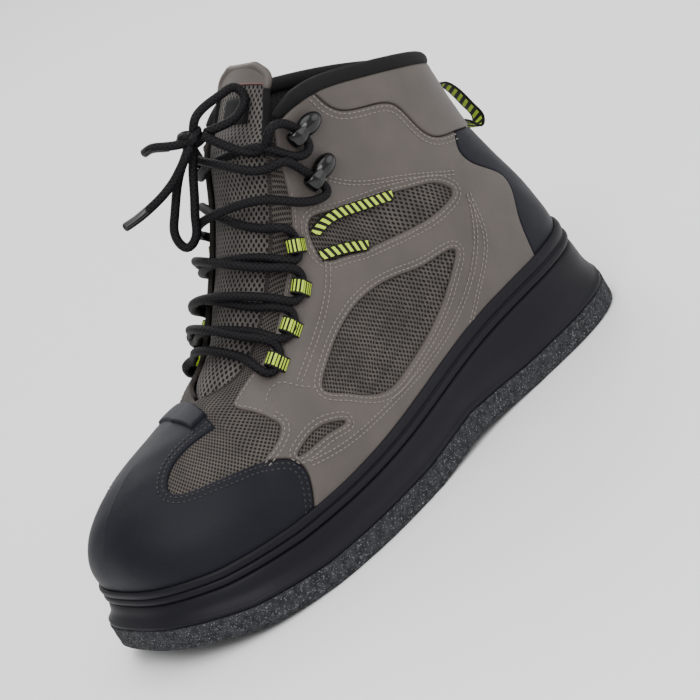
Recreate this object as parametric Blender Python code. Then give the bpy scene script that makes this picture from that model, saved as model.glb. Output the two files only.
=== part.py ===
"""Left wading boot, size EU 43, standing empty on its felt sole.

Metres, +Z up. +X points to the toe and +Y to the outer (lateral) side of the left foot.
The origin lies on the floor, midway along the sole and midway across it.

A place on the boot is given as (turn, rise). The turn runs once round the sole's rim, from
0 at the toe tip past the lateral side to 0.5 at the heel and back by the medial side. The
rise runs from 0 at the feather line, where upper and sole meet, to 1 at the top edge.
"""
import math

import bmesh
import bpy
import numpy as np
from mathutils.geometry import delaunay_2d_cdt

# Driving sizes
SOLE_LENGTH = 0.318
BALL_WIDTH = 0.130
BALL_STACK = 0.031           # floor to feather line under the ball
HEEL_STACK = 0.0425          # floor to feather line at the heel
TOE_SPRING = 0.0105
ARCH_RISE = 0.0035
UPPER_HEIGHT = 0.150         # height that the rib table's shares are of
FEATHER_INSET = 0.0095       # how far the feather line lies inside the sole's rim
FELT_THICKNESS = 0.0115
WALL = 0.0022                # fabric and lining of the upper
LEATHER = 0.0012
GAP = 0.0003                 # between neighbouring pieces
INSOLE_THICKNESS = 0.0035
INSOLE_PLAY = 0.0010
FELT_CHAMFER = 0.0010

# Rubber wall and its beaded rand
WALL_TOP_INSET = 0.0062
WALL_WAIST_INSET = 0.0040
WALL_FOOT_INSET = 0.0006
WALL_LIP = 0.0022
RAND_DROP = 0.0041           # from the feather line down to the rand's seat
RAND_RISE = 0.058            # share of the rise that the rand covers
BEAD_UPPER = 0.0020
BEAD_LOWER = 0.0028
BEAD_GROOVE = 0.0009

# Collar, tongue and laces
BINDING_RADIUS = 0.0040
TONGUE_THICKNESS = 0.0050
TONGUE_EDGE = 0.0026
TONGUE_REACH = 0.030         # how far the tongue stands above the collar's front
THROAT_CROWN = 0.0085        # how far the tongue arches over a straight line across
LACE = 0.0046                # diameter
LACE_BORE = 0.0029           # inner radius of what holds the lace
KEEPER_LEAD = 0.0026         # straight run of the lace past a keeper
KEEPER_TURN = 0.0010         # how far the lace runs on there before it turns to cross
HOOK_LEAD = 0.0050
HOOK_TURN = 0.0045
LACE_CLEAR = 0.0012          # under a lace where it crosses the throat
LACE_BULGE = 0.0030
KNOT_SIZE = (0.010, 0.017, 0.011)
KNOT_CENTRE = (-0.0025, -0.0030, 0.1950)
WEBBING_WIDTH = 0.0055
WEBBING_THICKNESS = 0.0014
KEEPER_WIDTH = 0.0075        # webbing loops that hold the lace
KEEPER_WALL = 0.0008
KEEPER_LENGTH = 0.0065       # from the lace back to the sewn end
HOOK_WIDTH = 0.0070
HOOK_METAL = 0.0012
HOOK_PLATE = 0.0120
HOOK_RETURN = 0.0045
EYELET_BORE = 0.0030         # radius
EYELET_RADIUS = 0.0044
EYELET_HEIGHT = 0.0012
PULL_WIDTH = 0.0100
PULL_WEBBING = 0.0014
PULL_REACH = 0.0170
PULL_HEIGHT = 0.0280
LABEL_WIDTH = 0.030
LABEL_HEIGHT = 0.024
LABEL_THICKNESS = 0.0010

# Grid of the upper: columns round the boot and rows up it
COLUMNS = 64
ROWS = 8
RIDGE_END = 18 / COLUMNS     # share of the way from toe to heel where the throat opens
CURVE_STEPS = 2

# Half-widths of the sole are shares of the ball width, places along it shares of its length
OUTLINE = (
    # along, lateral, medial
    (0.014, 0.129, 0.171),
    (0.055, 0.254, 0.296),
    (0.130, 0.331, 0.369),
    (0.240, 0.357, 0.383),
    (0.355, 0.375, 0.359),
    (0.470, 0.425, 0.351),
    (0.590, 0.479, 0.403),
    (0.700, 0.499, 0.469),
    (0.800, 0.473, 0.499),
    (0.885, 0.403, 0.483),
    (0.950, 0.279, 0.415),
    (0.988, 0.127, 0.293),
)
TOE_TIP = -0.079             # share of the ball width
HEEL_TIP = -0.021

# Spring is a share of the toe spring, arch of the arch rise, heel of the heel's extra stack
SOLE_HEIGHTS = (
    # along, spring, feather spring, arch, heel
    (0.00, 0.19, 0.00, 0.0, 1.00),
    (0.05, 0.00, 0.00, 0.0, 1.00),
    (0.28, 0.00, 0.00, 0.0, 0.83),
    (0.42, 0.00, 0.00, 1.0, 0.42),
    (0.54, 0.00, 0.00, 0.0, 0.10),
    (0.78, 0.00, 0.00, 0.0, 0.00),
    (0.90, 0.33, 0.24, 0.0, 0.00),
    (1.00, 1.00, 0.72, 0.0, 0.00),
)

# One rib for each share of the way from toe to heel. Along is a share of the sole's length,
# side of the ball width, and height and the handles of the upper's height.
RIBS = (
    # share, along, side, height, low out, low up, high out, high down
    (0.000, 0.845, 0.000, 0.290, 0.072, 0.185, 0.165, 0.000),
    (0.100, 0.813, 0.000, 0.303, 0.065, 0.180, 0.177, 0.000),
    (0.200, 0.767, 0.000, 0.318, 0.043, 0.172, 0.175, 0.000),
    (0.281, 0.721, 0.000, 0.332, 0.027, 0.170, 0.165, 0.000),
    (0.310, 0.697, 0.105, 0.342, 0.020, 0.173, 0.120, 0.027),
    (0.350, 0.660, 0.160, 0.363, 0.020, 0.180, 0.093, 0.047),
    (0.420, 0.607, 0.190, 0.437, 0.020, 0.200, 0.080, 0.080),
    (0.500, 0.543, 0.208, 0.577, 0.020, 0.227, 0.067, 0.160),
    (0.580, 0.483, 0.215, 0.740, 0.020, 0.240, 0.053, 0.240),
    (0.650, 0.441, 0.223, 0.885, 0.024, 0.253, 0.040, 0.293),
    (0.700, 0.404, 0.238, 0.937, 0.024, 0.267, 0.024, 0.320),
    (0.740, 0.352, 0.262, 0.952, 0.024, 0.267, 0.008, 0.320),
    (0.800, 0.277, 0.285, 0.915, 0.020, 0.267, -0.008, 0.320),
    (0.870, 0.195, 0.285, 0.848, 0.016, 0.267, -0.020, 0.320),
    (0.940, 0.120, 0.192, 0.773, 0.013, 0.267, -0.027, 0.300),
    (1.000, 0.088, 0.000, 0.728, 0.013, 0.250, -0.027, 0.280),
)
TOE_BEND_FROM = 0.62         # share of the length where the centre line starts to bend in
RIDGE_FADE = 0.1             # share over which the ridge's slope dies out in the throat

# Seams of the leather, as (turn, rise); the medial turns are counted from the toe as well
CAP_EDGE = ((0.157, 0.0), (0.165, 0.150), (0.167, 0.270), (0.159, 0.360), (0.146, 0.410))
CAP_SWEEP = ((0.146, 0.410), (0.102, 0.485), (0.072, 0.575), (0.078, 0.690), (0.100, 0.730),
             (0.134, 0.705))
STRIP_END = ((0.134, 0.705), (0.134, 1.0))
VAMP_EDGE = ((0.146, 0.410), (0.168, 0.520), (0.180, 0.630))
FRONT_EDGE = ((0.180, 0.630), (0.204, 0.672), (0.242, 0.695), (0.274, 0.725), (0.299, 0.795),
              (0.312, 0.865), (0.325, 0.935), (0.345, 1.0))
COUNTER_EDGE = ((0.4075, 0.0), (0.422, 0.235), (0.442, 0.410), (0.430, 0.530), (0.445, 0.680))
COUNTER_TOP = ((0.445, 0.680), (0.500, 0.665), (0.555, 0.680))
CUFF_EDGE = {
    "lateral": ((0.445, 0.680), (0.424, 0.700), (0.418, 0.870), (0.384, 0.905), (0.376, 1.0)),
    "medial": ((0.445, 0.680), (0.424, 0.695), (0.421, 0.800), (0.386, 0.860), (0.374, 1.0)),
}
WINDOWS = {
    "lateral": (
        ((0.224, 0.470), (0.216, 0.410), (0.230, 0.300), (0.250, 0.215), (0.284, 0.165),
         (0.320, 0.170), (0.348, 0.215), (0.362, 0.275), (0.328, 0.355), (0.292, 0.460),
         (0.262, 0.490)),
        ((0.304, 0.690), (0.334, 0.650), (0.366, 0.590), (0.386, 0.535), (0.400, 0.470),
         (0.396, 0.420), (0.376, 0.415), (0.354, 0.445), (0.326, 0.525), (0.308, 0.600)),
        ((0.170, 0.340), (0.184, 0.365), (0.202, 0.315), (0.214, 0.250), (0.192, 0.280),
         (0.173, 0.300)),
    ),
    "medial": (
        ((0.202, 0.465), (0.220, 0.550), (0.250, 0.560), (0.270, 0.535), (0.306, 0.415),
         (0.358, 0.280), (0.332, 0.250), (0.282, 0.230), (0.234, 0.200), (0.218, 0.305)),
        ((0.306, 0.640), (0.328, 0.650), (0.350, 0.615), (0.374, 0.555), (0.400, 0.480),
         (0.398, 0.440), (0.368, 0.435), (0.338, 0.500), (0.316, 0.575)),
    ),
}
OVERLAY_FOOT = 0.015         # rise at which the leather starts, behind the rand

# What holds the laces, from the lowest to the highest on each side; the keepers stand along
# the front edge of the leather at these turns, the rest at (turn, rise)
KEEPER_TURNS = (0.204, 0.232, 0.262, 0.288)
HOOKS = ((0.346, 0.800), (0.358, 0.930))
WEBBING_STRAPS = (((0.299, 0.757), (0.366, 0.575)), ((0.288, 0.717), (0.324, 0.540)))
EYELETS = ((0.214, 0.125), (0.246, 0.120))

# A crossing's route: place across the throat and share of the way from anchor to anchor
LACE_CROSSING = (
    # place, way
    (0.97, 0.12),
    (0.45, 0.25),
    (-0.45, 0.75),
    (-0.97, 0.88),
)
LACE_SHARES = (0.33, 0.655)  # stretch of the throat's edge that laces cross

# The bow: points in metres along each loop and end, from the knot outwards
BOW_ROUTES = {
    "bow_loop_1": ((-0.0055, 0.0035, 0.2030), (-0.0110, 0.0045, 0.2050), (-0.0180, 0.0060, 0.2055),
                   (-0.0250, 0.0070, 0.2055), (-0.0305, 0.0080, 0.2045), (-0.0315, 0.0100, 0.1990),
                   (-0.0265, 0.0110, 0.1950), (-0.0180, 0.0115, 0.1935), (-0.0105, 0.0095, 0.1945)),
    "bow_loop_2": ((0.0010, -0.0060, 0.1860), (0.0050, -0.0075, 0.1790), (0.0095, -0.0090, 0.1700),
                   (0.0150, -0.0105, 0.1600), (0.0195, -0.0125, 0.1520), (0.0235, -0.0165, 0.1500),
                   (0.0240, -0.0200, 0.1560), (0.0195, -0.0190, 0.1650), (0.0135, -0.0165, 0.1740),
                   (0.0075, -0.0135, 0.1820), (0.0015, -0.0110, 0.1875)),
    "lace_end_1": ((0.0050, -0.0025, 0.1900), (0.0090, -0.0050, 0.1868), (0.0140, -0.0090, 0.1825),
                   (0.0210, -0.0130, 0.1790), (0.0280, -0.0180, 0.1765), (0.0350, -0.0225, 0.1750),
                   (0.0405, -0.0260, 0.1745)),
    "lace_end_2": ((0.0060, -0.0080, 0.1965), (0.0095, -0.0115, 0.1985), (0.0125, -0.0150, 0.2000),
                   (0.0150, -0.0185, 0.1995)),
}
BOW_STEP = 1.5               # diameters between the points of a cord

# The tongue's half-breadth, in throat half-widths, at shares of the way from toe to heel
TONGUE_ROWS = (
    # share, half-breadth
    (0.312, 1.10),
    (0.400, 1.22),
    (0.500, 1.22),
    (0.580, 1.18),
    (0.650, 1.02),
    (0.690, 0.88),
)
TONGUE_TIP_ROWS = (
    # share of the reach above the collar, half-breadth
    (0.35, 0.84),
    (0.70, 0.80),
    (0.92, 0.66),
    (1.00, 0.42),
)
TONGUE_COLUMNS = 8
TONGUE_PLAY = 0.0008         # between the tongue and the upper's inside

SIDES = {"lateral": 1, "medial": -1}


def smooth_curve(knots, values, period=None):
    """Smooth cubic through the knots, closed on itself where a period is given, as a function."""
    knots, values = np.asarray(knots, float), np.asarray(values, float)
    count = len(knots)
    after = np.append(knots[1:], knots[0] + period) if period else knots[1:]
    span = after - knots[:len(after)]
    rise = (np.roll(values, -1, 0)[:len(span)] - values[:len(span)]) / span[:, None]
    matrix, right = np.zeros((count, count)), np.zeros_like(values)
    for i in range(count):
        if period or 0 < i < count - 1:
            before, here = span[i - 1], span[i]
            matrix[i, i - 1] = here
            matrix[i, i] = 2 * (before + here)
            matrix[i, (i + 1) % count] = before
            right[i] = 3 * (here * rise[i - 1] + before * rise[i])
        else:
            matrix[i, i] = 2
            matrix[i, 1 if i == 0 else i - 1] = 1
            right[i] = 3 * rise[0 if i == 0 else -1]
    slope = np.linalg.solve(matrix, right)

    def curve(at):
        at = np.asarray(at, float)
        if period:
            at = (at - knots[0]) % period + knots[0]
        i = np.clip(np.searchsorted(knots, at, "right") - 1, 0, len(span) - 1)
        j = (i + 1) % count
        s = ((at - knots[i]) / span[i])[..., None]
        h = span[i][..., None]
        return ((1 + 2 * s) * (1 - s) ** 2 * values[i] + s * (1 - s) ** 2 * h * slope[i]
                + s * s * (3 - 2 * s) * values[j] + s * s * (s - 1) * h * slope[j])
    return curve


# The sole's rim and heights

def sole_rim():
    """The rim as turns and points, with the turns measured along each side's length."""
    rows = np.array(OUTLINE)
    points = np.vstack([[(1.0, TOE_TIP)], rows[::-1, :2], [(0.0, HEEL_TIP)],
                        rows[:, [0, 2]] * (1, -1)])
    points = points * (SOLE_LENGTH, BALL_WIDTH) - (0.5 * SOLE_LENGTH, 0)
    steps = np.linalg.norm(np.roll(points, -1, 0) - points, axis=1)
    knots = np.concatenate([[0], np.cumsum(steps)[:-1]])
    fine = np.linspace(0, steps.sum(), 2000, endpoint=False)
    line = smooth_curve(knots, points, steps.sum())(fine)
    length = np.append(0, np.cumsum(np.linalg.norm(np.roll(line, -1, 0) - line, axis=1)))
    half = np.interp(knots[len(rows) + 1], fine, length[:-1])
    turn = np.where(length[:-1] < half, 0.5 * length[:-1] / half,
                    0.5 + 0.5 * (length[:-1] - half) / (length[-1] - half))
    return turn, line, length[-1]


RIM_TURN, RIM_LINE, RIM_LENGTH = sole_rim()


def rim(turn, inset=0.0):
    """Points of the rim moved in by the inset, and the outward direction at each."""
    def place(at):
        return np.stack([np.interp(at, RIM_TURN, RIM_LINE[:, k], period=1.0) for k in (0, 1)], -1)
    turn, step = np.asarray(turn, float), 0.004
    ahead = place(turn + step) - place(turn - step)
    ahead /= np.linalg.norm(ahead, axis=-1, keepdims=True)
    out = np.stack([ahead[..., 1], -ahead[..., 0]], -1)
    return place(turn) - out * np.asarray(inset, float)[..., None], out


HEEL_CURVE = smooth_curve([row[0] for row in SOLE_HEIGHTS], [row[4:] for row in SOLE_HEIGHTS])


def sole_share(x):
    return np.clip(np.asarray(x) / SOLE_LENGTH + 0.5, 0, 1)


def floor_height(x):
    """Underside of the felt, with the toe spring, the arch and the heel's lifted back edge."""
    rows = np.array(SOLE_HEIGHTS)
    share = sole_share(x)
    return (TOE_SPRING * np.interp(share, rows[:, 0], rows[:, 1])
            + ARCH_RISE * np.interp(share, rows[:, 0], rows[:, 3]))


def feather_height(x):
    """Height of the feather line, where the upper stands on the sole."""
    rows = np.array(SOLE_HEIGHTS)
    share = sole_share(x)
    spring = TOE_SPRING * np.interp(share, rows[:, 0], rows[:, 2])
    return BALL_STACK + (HEEL_STACK - BALL_STACK) * HEEL_CURVE(share)[..., 0] + spring


# The last: one cubic rib from the feather line to the top edge for every turn

RIB_CURVE = smooth_curve([row[0] for row in RIBS], [row[1:] for row in RIBS])


def rib_points(turn):
    turn = np.asarray(turn, float) % 1.0
    side = np.where(turn <= 0.5, 1.0, -1.0)
    share = 2 * np.minimum(turn, 1 - turn)
    base, out = rim(turn, np.full(turn.shape, FEATHER_INSET))
    foot = np.concatenate([base, feather_height(base[..., 0])[..., None]], -1)
    rib = RIB_CURVE(share)
    half_gap = np.where(share > RIDGE_END + 1e-9, np.maximum(rib[..., 1], 0), 0)
    bend = np.clip((rib[..., 0] - TOE_BEND_FROM) / (1 - TOE_BEND_FROM), 0, 1) ** 1.5
    middle = HEEL_TIP + (TOE_TIP - HEEL_TIP) * bend
    top = np.stack([(rib[..., 0] - 0.5) * SOLE_LENGTH,
                    (side * half_gap + middle) * BALL_WIDTH,
                    HEEL_STACK + rib[..., 2] * UPPER_HEIGHT], -1)
    step = 0.001
    near, far = RIB_CURVE(np.clip(share - step, 0, 1)), RIB_CURVE(np.clip(share + step, 0, 1))
    ridge = (near - far)[..., [0, 2]] * (SOLE_LENGTH, UPPER_HEIGHT)
    slope = ridge[..., 1] / ridge[..., 0] * np.clip(1 - (share - RIDGE_END) / RIDGE_FADE, 0, 1)
    zero = np.zeros_like(slope)
    out = np.stack([out[..., 0], out[..., 1], zero], -1)
    lean = np.stack([zero, zero, slope * out[..., 0]], -1)
    up = np.array([0, 0, UPPER_HEIGHT])
    low = foot + out * rib[..., 3:4] * UPPER_HEIGHT + up * rib[..., 4:5]
    high = top + (out + lean) * rib[..., 5:6] * UPPER_HEIGHT - up * rib[..., 6:7]
    return foot, low, high, top


def last_point(turn, rise):
    foot, low, high, top = rib_points(turn)
    t = np.asarray(rise, float)[..., None]
    return ((1 - t) ** 3 * foot + 3 * t * (1 - t) ** 2 * low + 3 * t * t * (1 - t) * high
            + t ** 3 * top)


def unit(vector):
    vector = np.asarray(vector, float)
    return vector / np.linalg.norm(vector, axis=-1, keepdims=True)


def one_sided_normal(turn, rise):
    step = 0.004
    low, high = np.clip(rise - step, 0, 1), np.clip(rise + step, 0, 1)
    round_boot = last_point(turn + step, rise) - last_point(turn - step, rise)
    up_boot = last_point(turn, high) - last_point(turn, low)
    return unit(np.cross(round_boot, up_boot))


def last_normal(turn, rise):
    """Outward normal, shared by both sides where they meet along the vamp's ridge."""
    turn, rise = np.broadcast_arrays(np.asarray(turn, float) % 1.0, np.asarray(rise, float))
    normal = one_sided_normal(turn, rise)
    share = 2 * np.minimum(turn, 1 - turn)
    on_ridge = (rise > 1 - 1e-6) & (share <= RIDGE_END + 1e-6)
    joined = unit(one_sided_normal(turn, 0.97) + one_sided_normal(1 - turn, 0.97))
    return np.where(on_ridge[..., None], joined, normal)


# The upper's grid; every skin over or under it keeps the same facets

GRID_TURN, GRID_RISE = np.meshgrid(np.arange(COLUMNS + 1) / COLUMNS, np.arange(ROWS + 1) / ROWS,
                                   indexing="ij")
GRID_POINTS = last_point(GRID_TURN, GRID_RISE)
GRID_NORMALS = last_normal(GRID_TURN, GRID_RISE)


def skin(turn, rise, offset=0.0):
    """Point on the faceted upper, moved out by the offset."""
    u, v = (np.asarray(turn, float) % 1.0) * COLUMNS, np.asarray(rise, float) * ROWS
    u, v = np.broadcast_arrays(u, v)
    i = np.clip(np.floor(u + 1e-7).astype(int), 0, COLUMNS - 1)
    j = np.clip(np.floor(v + 1e-7).astype(int), 0, ROWS - 1)
    u, v = (u - i)[..., None], (v - j)[..., None]
    lifted = GRID_POINTS + GRID_NORMALS * offset
    a, b, c, d = lifted[i, j], lifted[i + 1, j], lifted[i + 1, j + 1], lifted[i, j + 1]
    return np.where(u >= v, a + u * (b - a) + v * (c - b), a + v * (d - a) + u * (c - d))


def seated_frame(side, place, toward, reach, width, offset):
    """Origin, direction on the surface, direction across it and normal for what sits at a place.
    The origin is lifted so that a base that reaches back and ahead clears the facets."""
    turn, rise = place if side > 0 else (1 - place[0], place[1])
    step = 0.004
    normal = last_normal(turn, rise)
    by_turn = (last_point(turn + step, rise) - last_point(turn - step, rise)) / (2 * step)
    by_rise = (last_point(turn, rise + step) - last_point(turn, rise - step)) / (2 * step)
    ahead = {"throat": by_rise, "front": -side * by_turn}[toward] if isinstance(toward, str) else toward
    ahead = unit(ahead - normal * np.dot(ahead, normal))
    across = np.cross(normal, ahead)
    a, w = (v.ravel() for v in np.meshgrid(np.linspace(*reach, 5), np.linspace(-0.5, 0.5, 5) * width))
    basis = np.array([[by_turn @ ahead, by_rise @ ahead], [by_turn @ across, by_rise @ across]])
    d_turn, d_rise = np.linalg.solve(basis, np.array([a, w]))
    origin = last_point(turn, rise)
    under = skin(turn + d_turn, np.clip(rise + d_rise, 0, 1), offset)
    lift = ((under - origin) @ normal).max() + GAP
    return origin + normal * lift, ahead, across, normal


# Meshes and materials

MATERIALS = {}


def material(name, colour, roughness, metallic=0.0):
    if name not in MATERIALS:
        made = bpy.data.materials.new(name)
        made.use_nodes = True
        shader = made.node_tree.nodes["Principled BSDF"]
        shader.inputs["Base Color"].default_value = (*colour, 1.0)
        shader.inputs["Roughness"].default_value = roughness
        shader.inputs["Metallic"].default_value = metallic
        made.diffuse_color = (*colour, 1.0)
        MATERIALS[name] = made
    return MATERIALS[name]


def leather():
    return material("taupe_leather", (0.18, 0.155, 0.135), 0.55)


def black_leather():
    return material("coated_black_leather", (0.020, 0.021, 0.030), 0.45)


def rubber():
    return material("black_rubber", (0.017, 0.018, 0.024), 0.50)


def mesh_fabric():
    return material("taupe_mesh", (0.11, 0.095, 0.082), 0.80)


def webbing():
    return material("striped_webbing", (0.45, 0.60, 0.08), 0.70)


def black_cord():
    return material("black_cord", (0.012, 0.012, 0.013), 0.75)


def add_piece(name, points, faces, look, smooth_angle=40):
    """One closed object from points and faces; doubled points are welded."""
    mesh = bpy.data.meshes.new(name)
    mesh.from_pydata([tuple(float(c) for c in point) for point in points], [],
                     [tuple(int(i) for i in face) for face in faces])
    made = bmesh.new()
    made.from_mesh(mesh)
    bmesh.ops.remove_doubles(made, verts=made.verts, dist=1e-6)
    bmesh.ops.dissolve_degenerate(made, edges=made.edges, dist=1e-6)
    bmesh.ops.triangulate(made, faces=[f for f in made.faces if len(f.verts) > 4])
    bmesh.ops.recalc_face_normals(made, faces=made.faces)
    made.to_mesh(mesh)
    made.free()
    mesh.shade_smooth()
    mesh.set_sharp_from_angle(angle=math.radians(smooth_angle))
    mesh.materials.append(look)
    piece = bpy.data.objects.new(name, mesh)
    bpy.context.collection.objects.link(piece)
    return piece


def loft(rings, closed_rings=True):
    """Faces between rings of equally many points, numbered ring after ring."""
    count = len(rings[0])
    last = count if closed_rings else count - 1
    faces = []
    for ring in range(len(rings) - 1):
        for i in range(last):
            a, b = ring * count + i, ring * count + (i + 1) % count
            faces.append((a, b, b + count, a + count))
    return faces


def ladder(start, count):
    """Faces that close a ring of the sole with rungs from side to side."""
    faces = []
    for i in range(count // 2):
        rung = (start + i, start + i + 1, start + (count - i - 1) % count,
                start + (count - i) % count)
        faces.append(tuple(dict.fromkeys(rung)))
    return faces


def plate(name, rings, look):
    """A solid of stacked rim rings, closed below and above."""
    count = len(rings[0])
    faces = loft(rings) + ladder(0, count) + ladder((len(rings) - 1) * count, count)
    return add_piece(name, np.vstack(rings), faces, look)


def tube_around(name, sections, look):
    """A closed hoop through the sections, each a closed ring of points."""
    faces = loft([*sections, sections[0]])
    total = len(sections) * len(sections[0])
    return add_piece(name, np.vstack(sections), [tuple(i % total for i in f) for f in faces],
                     look)


def bar(name, sections, look):
    """A solid through the sections, capped at its first and last."""
    count = len(sections[0])
    first = tuple(range(count))
    last = tuple(range((len(sections) - 1) * count, len(sections) * count))
    return add_piece(name, np.vstack(sections), [*loft(sections), first, last], look)


def extruded(name, profile, frame, width, look, hole=None):
    """A profile of (ahead, normal) pairs, extruded across the frame; a hole is bridged."""
    origin, ahead, across, normal = frame
    rings = [profile] if hole is None else [profile, hole]
    points = [origin + ahead * a + normal * n + across * w
              for w in (-width / 2, width / 2) for ring in rings for a, n in ring]
    count, size = len(profile), len(profile) * len(rings)
    faces = []
    for i in range(count):
        k = (i + 1) % count
        faces.append((i, k, size + k, size + i))
        if hole is not None:
            faces.append((count + i, size + count + i, size + count + k, count + k))
            faces.append((i, count + i, count + k, k))
            faces.append((size + i, size + k, size + count + k, size + count + i))
    if hole is None:
        faces += [tuple(range(count)), tuple(range(size, size + count))]
    return add_piece(name, points, faces, look)


# Outlines on the upper and the pieces cut by them

DOMAIN = np.array([RIM_LENGTH, UPPER_HEIGHT])    # about one metre for each turn and rise


def smooth_line(points, steps=CURVE_STEPS, closed=False):
    """A curve through the points, with a few steps between neighbours."""
    points = np.array(points, float)
    ring = np.vstack([points, points[:1]]) if closed else points
    span = np.linalg.norm(np.diff(ring * DOMAIN, axis=0), axis=1)
    knots = np.append(0, np.cumsum(span))
    at = np.concatenate([np.linspace(knots[i], knots[i + 1], steps, endpoint=False)
                         for i in range(len(span))])
    if closed:
        return smooth_curve(knots[:-1], points, knots[-1])(at)
    return smooth_curve(knots, points)(np.append(at, knots[-1]))


def mirrored(line):
    return np.array(line, float) * (-1, 1) + (1, 0)


def joined(*lines):
    """One outline from seams that follow each other."""
    points = np.vstack(lines)
    keep = np.linalg.norm((points - np.roll(points, 1, 0)) * DOMAIN, axis=1) > 1e-6
    return points[keep]


def shrunk(outline, by):
    """The outline drawn in by a distance on the surface."""
    flat = np.array(outline) * DOMAIN
    area = 0.5 * np.sum(flat[:, 0] * np.roll(flat[:, 1], -1) - flat[:, 1] * np.roll(flat[:, 0], -1))
    before, after = unit(flat - np.roll(flat, 1, 0)), unit(np.roll(flat, -1, 0) - flat)
    turn_in = np.array([[0, 1], [-1, 0]]) * np.sign(area)
    inward = before @ turn_in + after @ turn_in
    inward /= np.maximum(np.sum(inward * inward, axis=1, keepdims=True) / 2, 0.4)
    return (flat + inward * by) / DOMAIN


def inside(outline, points):
    """Which points lie inside a closed outline."""
    x, y = points[:, :1], points[:, 1:]
    ax, ay = outline.T
    bx, by = np.roll(outline, -1, 0).T
    rise = np.where(by == ay, 1e-12, by - ay)
    crosses = ((ay > y) != (by > y)) & (x < ax + (bx - ax) * (y - ay) / rise)
    return crosses.sum(axis=1) % 2 == 1


def cut_domain(outline, holes):
    """Triangles of the upper's grid cut along the outline and the holes."""
    first, last = np.floor(outline[:, 0].min() * COLUMNS), np.ceil(outline[:, 0].max() * COLUMNS)
    columns = np.arange(int(first), int(last) + 1)
    nodes = [(i / COLUMNS, j / ROWS) for i in columns for j in range(ROWS + 1)]
    edges, tall = [], ROWS + 1
    for i in range(len(columns)):
        for j in range(tall):
            here = i * tall + j
            if j < ROWS:
                edges.append((here, here + 1))
            if i < len(columns) - 1:
                edges.append((here, here + tall))
                if j < ROWS:
                    edges.append((here, here + tall + 1))
    points = [np.array(nodes)]
    for ring in [outline, *holes]:
        start = sum(len(p) for p in points)
        edges += [(start + i, start + (i + 1) % len(ring)) for i in range(len(ring))]
        points.append(np.array(ring))
    flat = np.vstack(points) * DOMAIN
    verts, _, faces, *_ = delaunay_2d_cdt([tuple(p) for p in flat], edges, [], 0, 1e-6)
    verts = np.array([tuple(v) for v in verts]) / DOMAIN
    middles = np.array([verts[list(face)].mean(axis=0) for face in faces])
    keep = inside(outline, middles)
    for ring in holes:
        keep &= ~inside(np.array(ring), middles)
    return verts, [face for face, kept in zip(faces, keep) if kept]


def overlay(name, outline, look, holes=(), low=GAP, high=GAP + LEATHER):
    """A layer between two skins of the upper, cut along an outline."""
    outline = shrunk(outline, GAP / 2)
    verts, faces = cut_domain(outline, [np.array(hole) for hole in holes])
    sides = {}
    for face in faces:
        for a, b in zip(face, face[1:] + face[:1]):
            sides[(a, b)] = (b, a) not in sides
            if not sides[(a, b)]:
                sides[(b, a)] = False
    count = len(verts)
    solid = [tuple(face) for face in faces] + [tuple(i + count for i in face[::-1])
                                               for face in faces]
    solid += [(b, a, a + count, b + count) for (a, b), open_side in sides.items() if open_side]
    turn, rise = verts.T
    points = np.vstack([skin(turn, rise, high), skin(turn, rise, low)])
    used = sorted({i for face in solid for i in face})
    number = {old: new for new, old in enumerate(used)}
    return add_piece(name, points[used], [[number[i] for i in face] for face in solid], look)


def on_foot(line):
    """The line with its lowest end lifted to where the leather starts."""
    line = np.array(line)
    return np.column_stack([line[:, 0], np.maximum(line[:, 1], OVERLAY_FOOT)])


def placed(line, side):
    return np.array(line) if side > 0 else mirrored(line)


# Sole

def column_turns():
    return np.arange(COLUMNS) / COLUMNS


def rim_ring(inset, level, lift):
    """A ring inside the rim, lifted above the felt's underside or the feather line."""
    xy, _ = rim(column_turns(), np.full(COLUMNS, inset))
    if level == "floor":
        z = floor_height(rim(column_turns())[0][:, 0])
    else:
        z = feather_height(rim(column_turns(), np.full(COLUMNS, FEATHER_INSET))[0][:, 0])
    return np.column_stack([xy, z + lift])


def outsole_felt():
    plate("outsole_felt", [
        rim_ring(FELT_CHAMFER, "floor", 0),
        rim_ring(0.0, "floor", FELT_CHAMFER),
        rim_ring(0.0, "floor", FELT_THICKNESS),
    ], material("dark_felt", (0.045, 0.046, 0.050), 0.95))


def midsole_wall():
    """Rubber wall that flares to the felt, with a seat for the rand and one for the upper."""
    base = FELT_THICKNESS + GAP
    plate("midsole_wall", [
        rim_ring(WALL_FOOT_INSET, "floor", base),
        rim_ring(WALL_FOOT_INSET, "floor", base + WALL_LIP),
        rim_ring(WALL_WAIST_INSET, "feather", -2.2 * RAND_DROP),
        rim_ring(WALL_TOP_INSET, "feather", -RAND_DROP - GAP),
        rim_ring(FEATHER_INSET, "feather", -RAND_DROP - GAP),
        rim_ring(FEATHER_INSET, "feather", -GAP),
    ], rubber())


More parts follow.
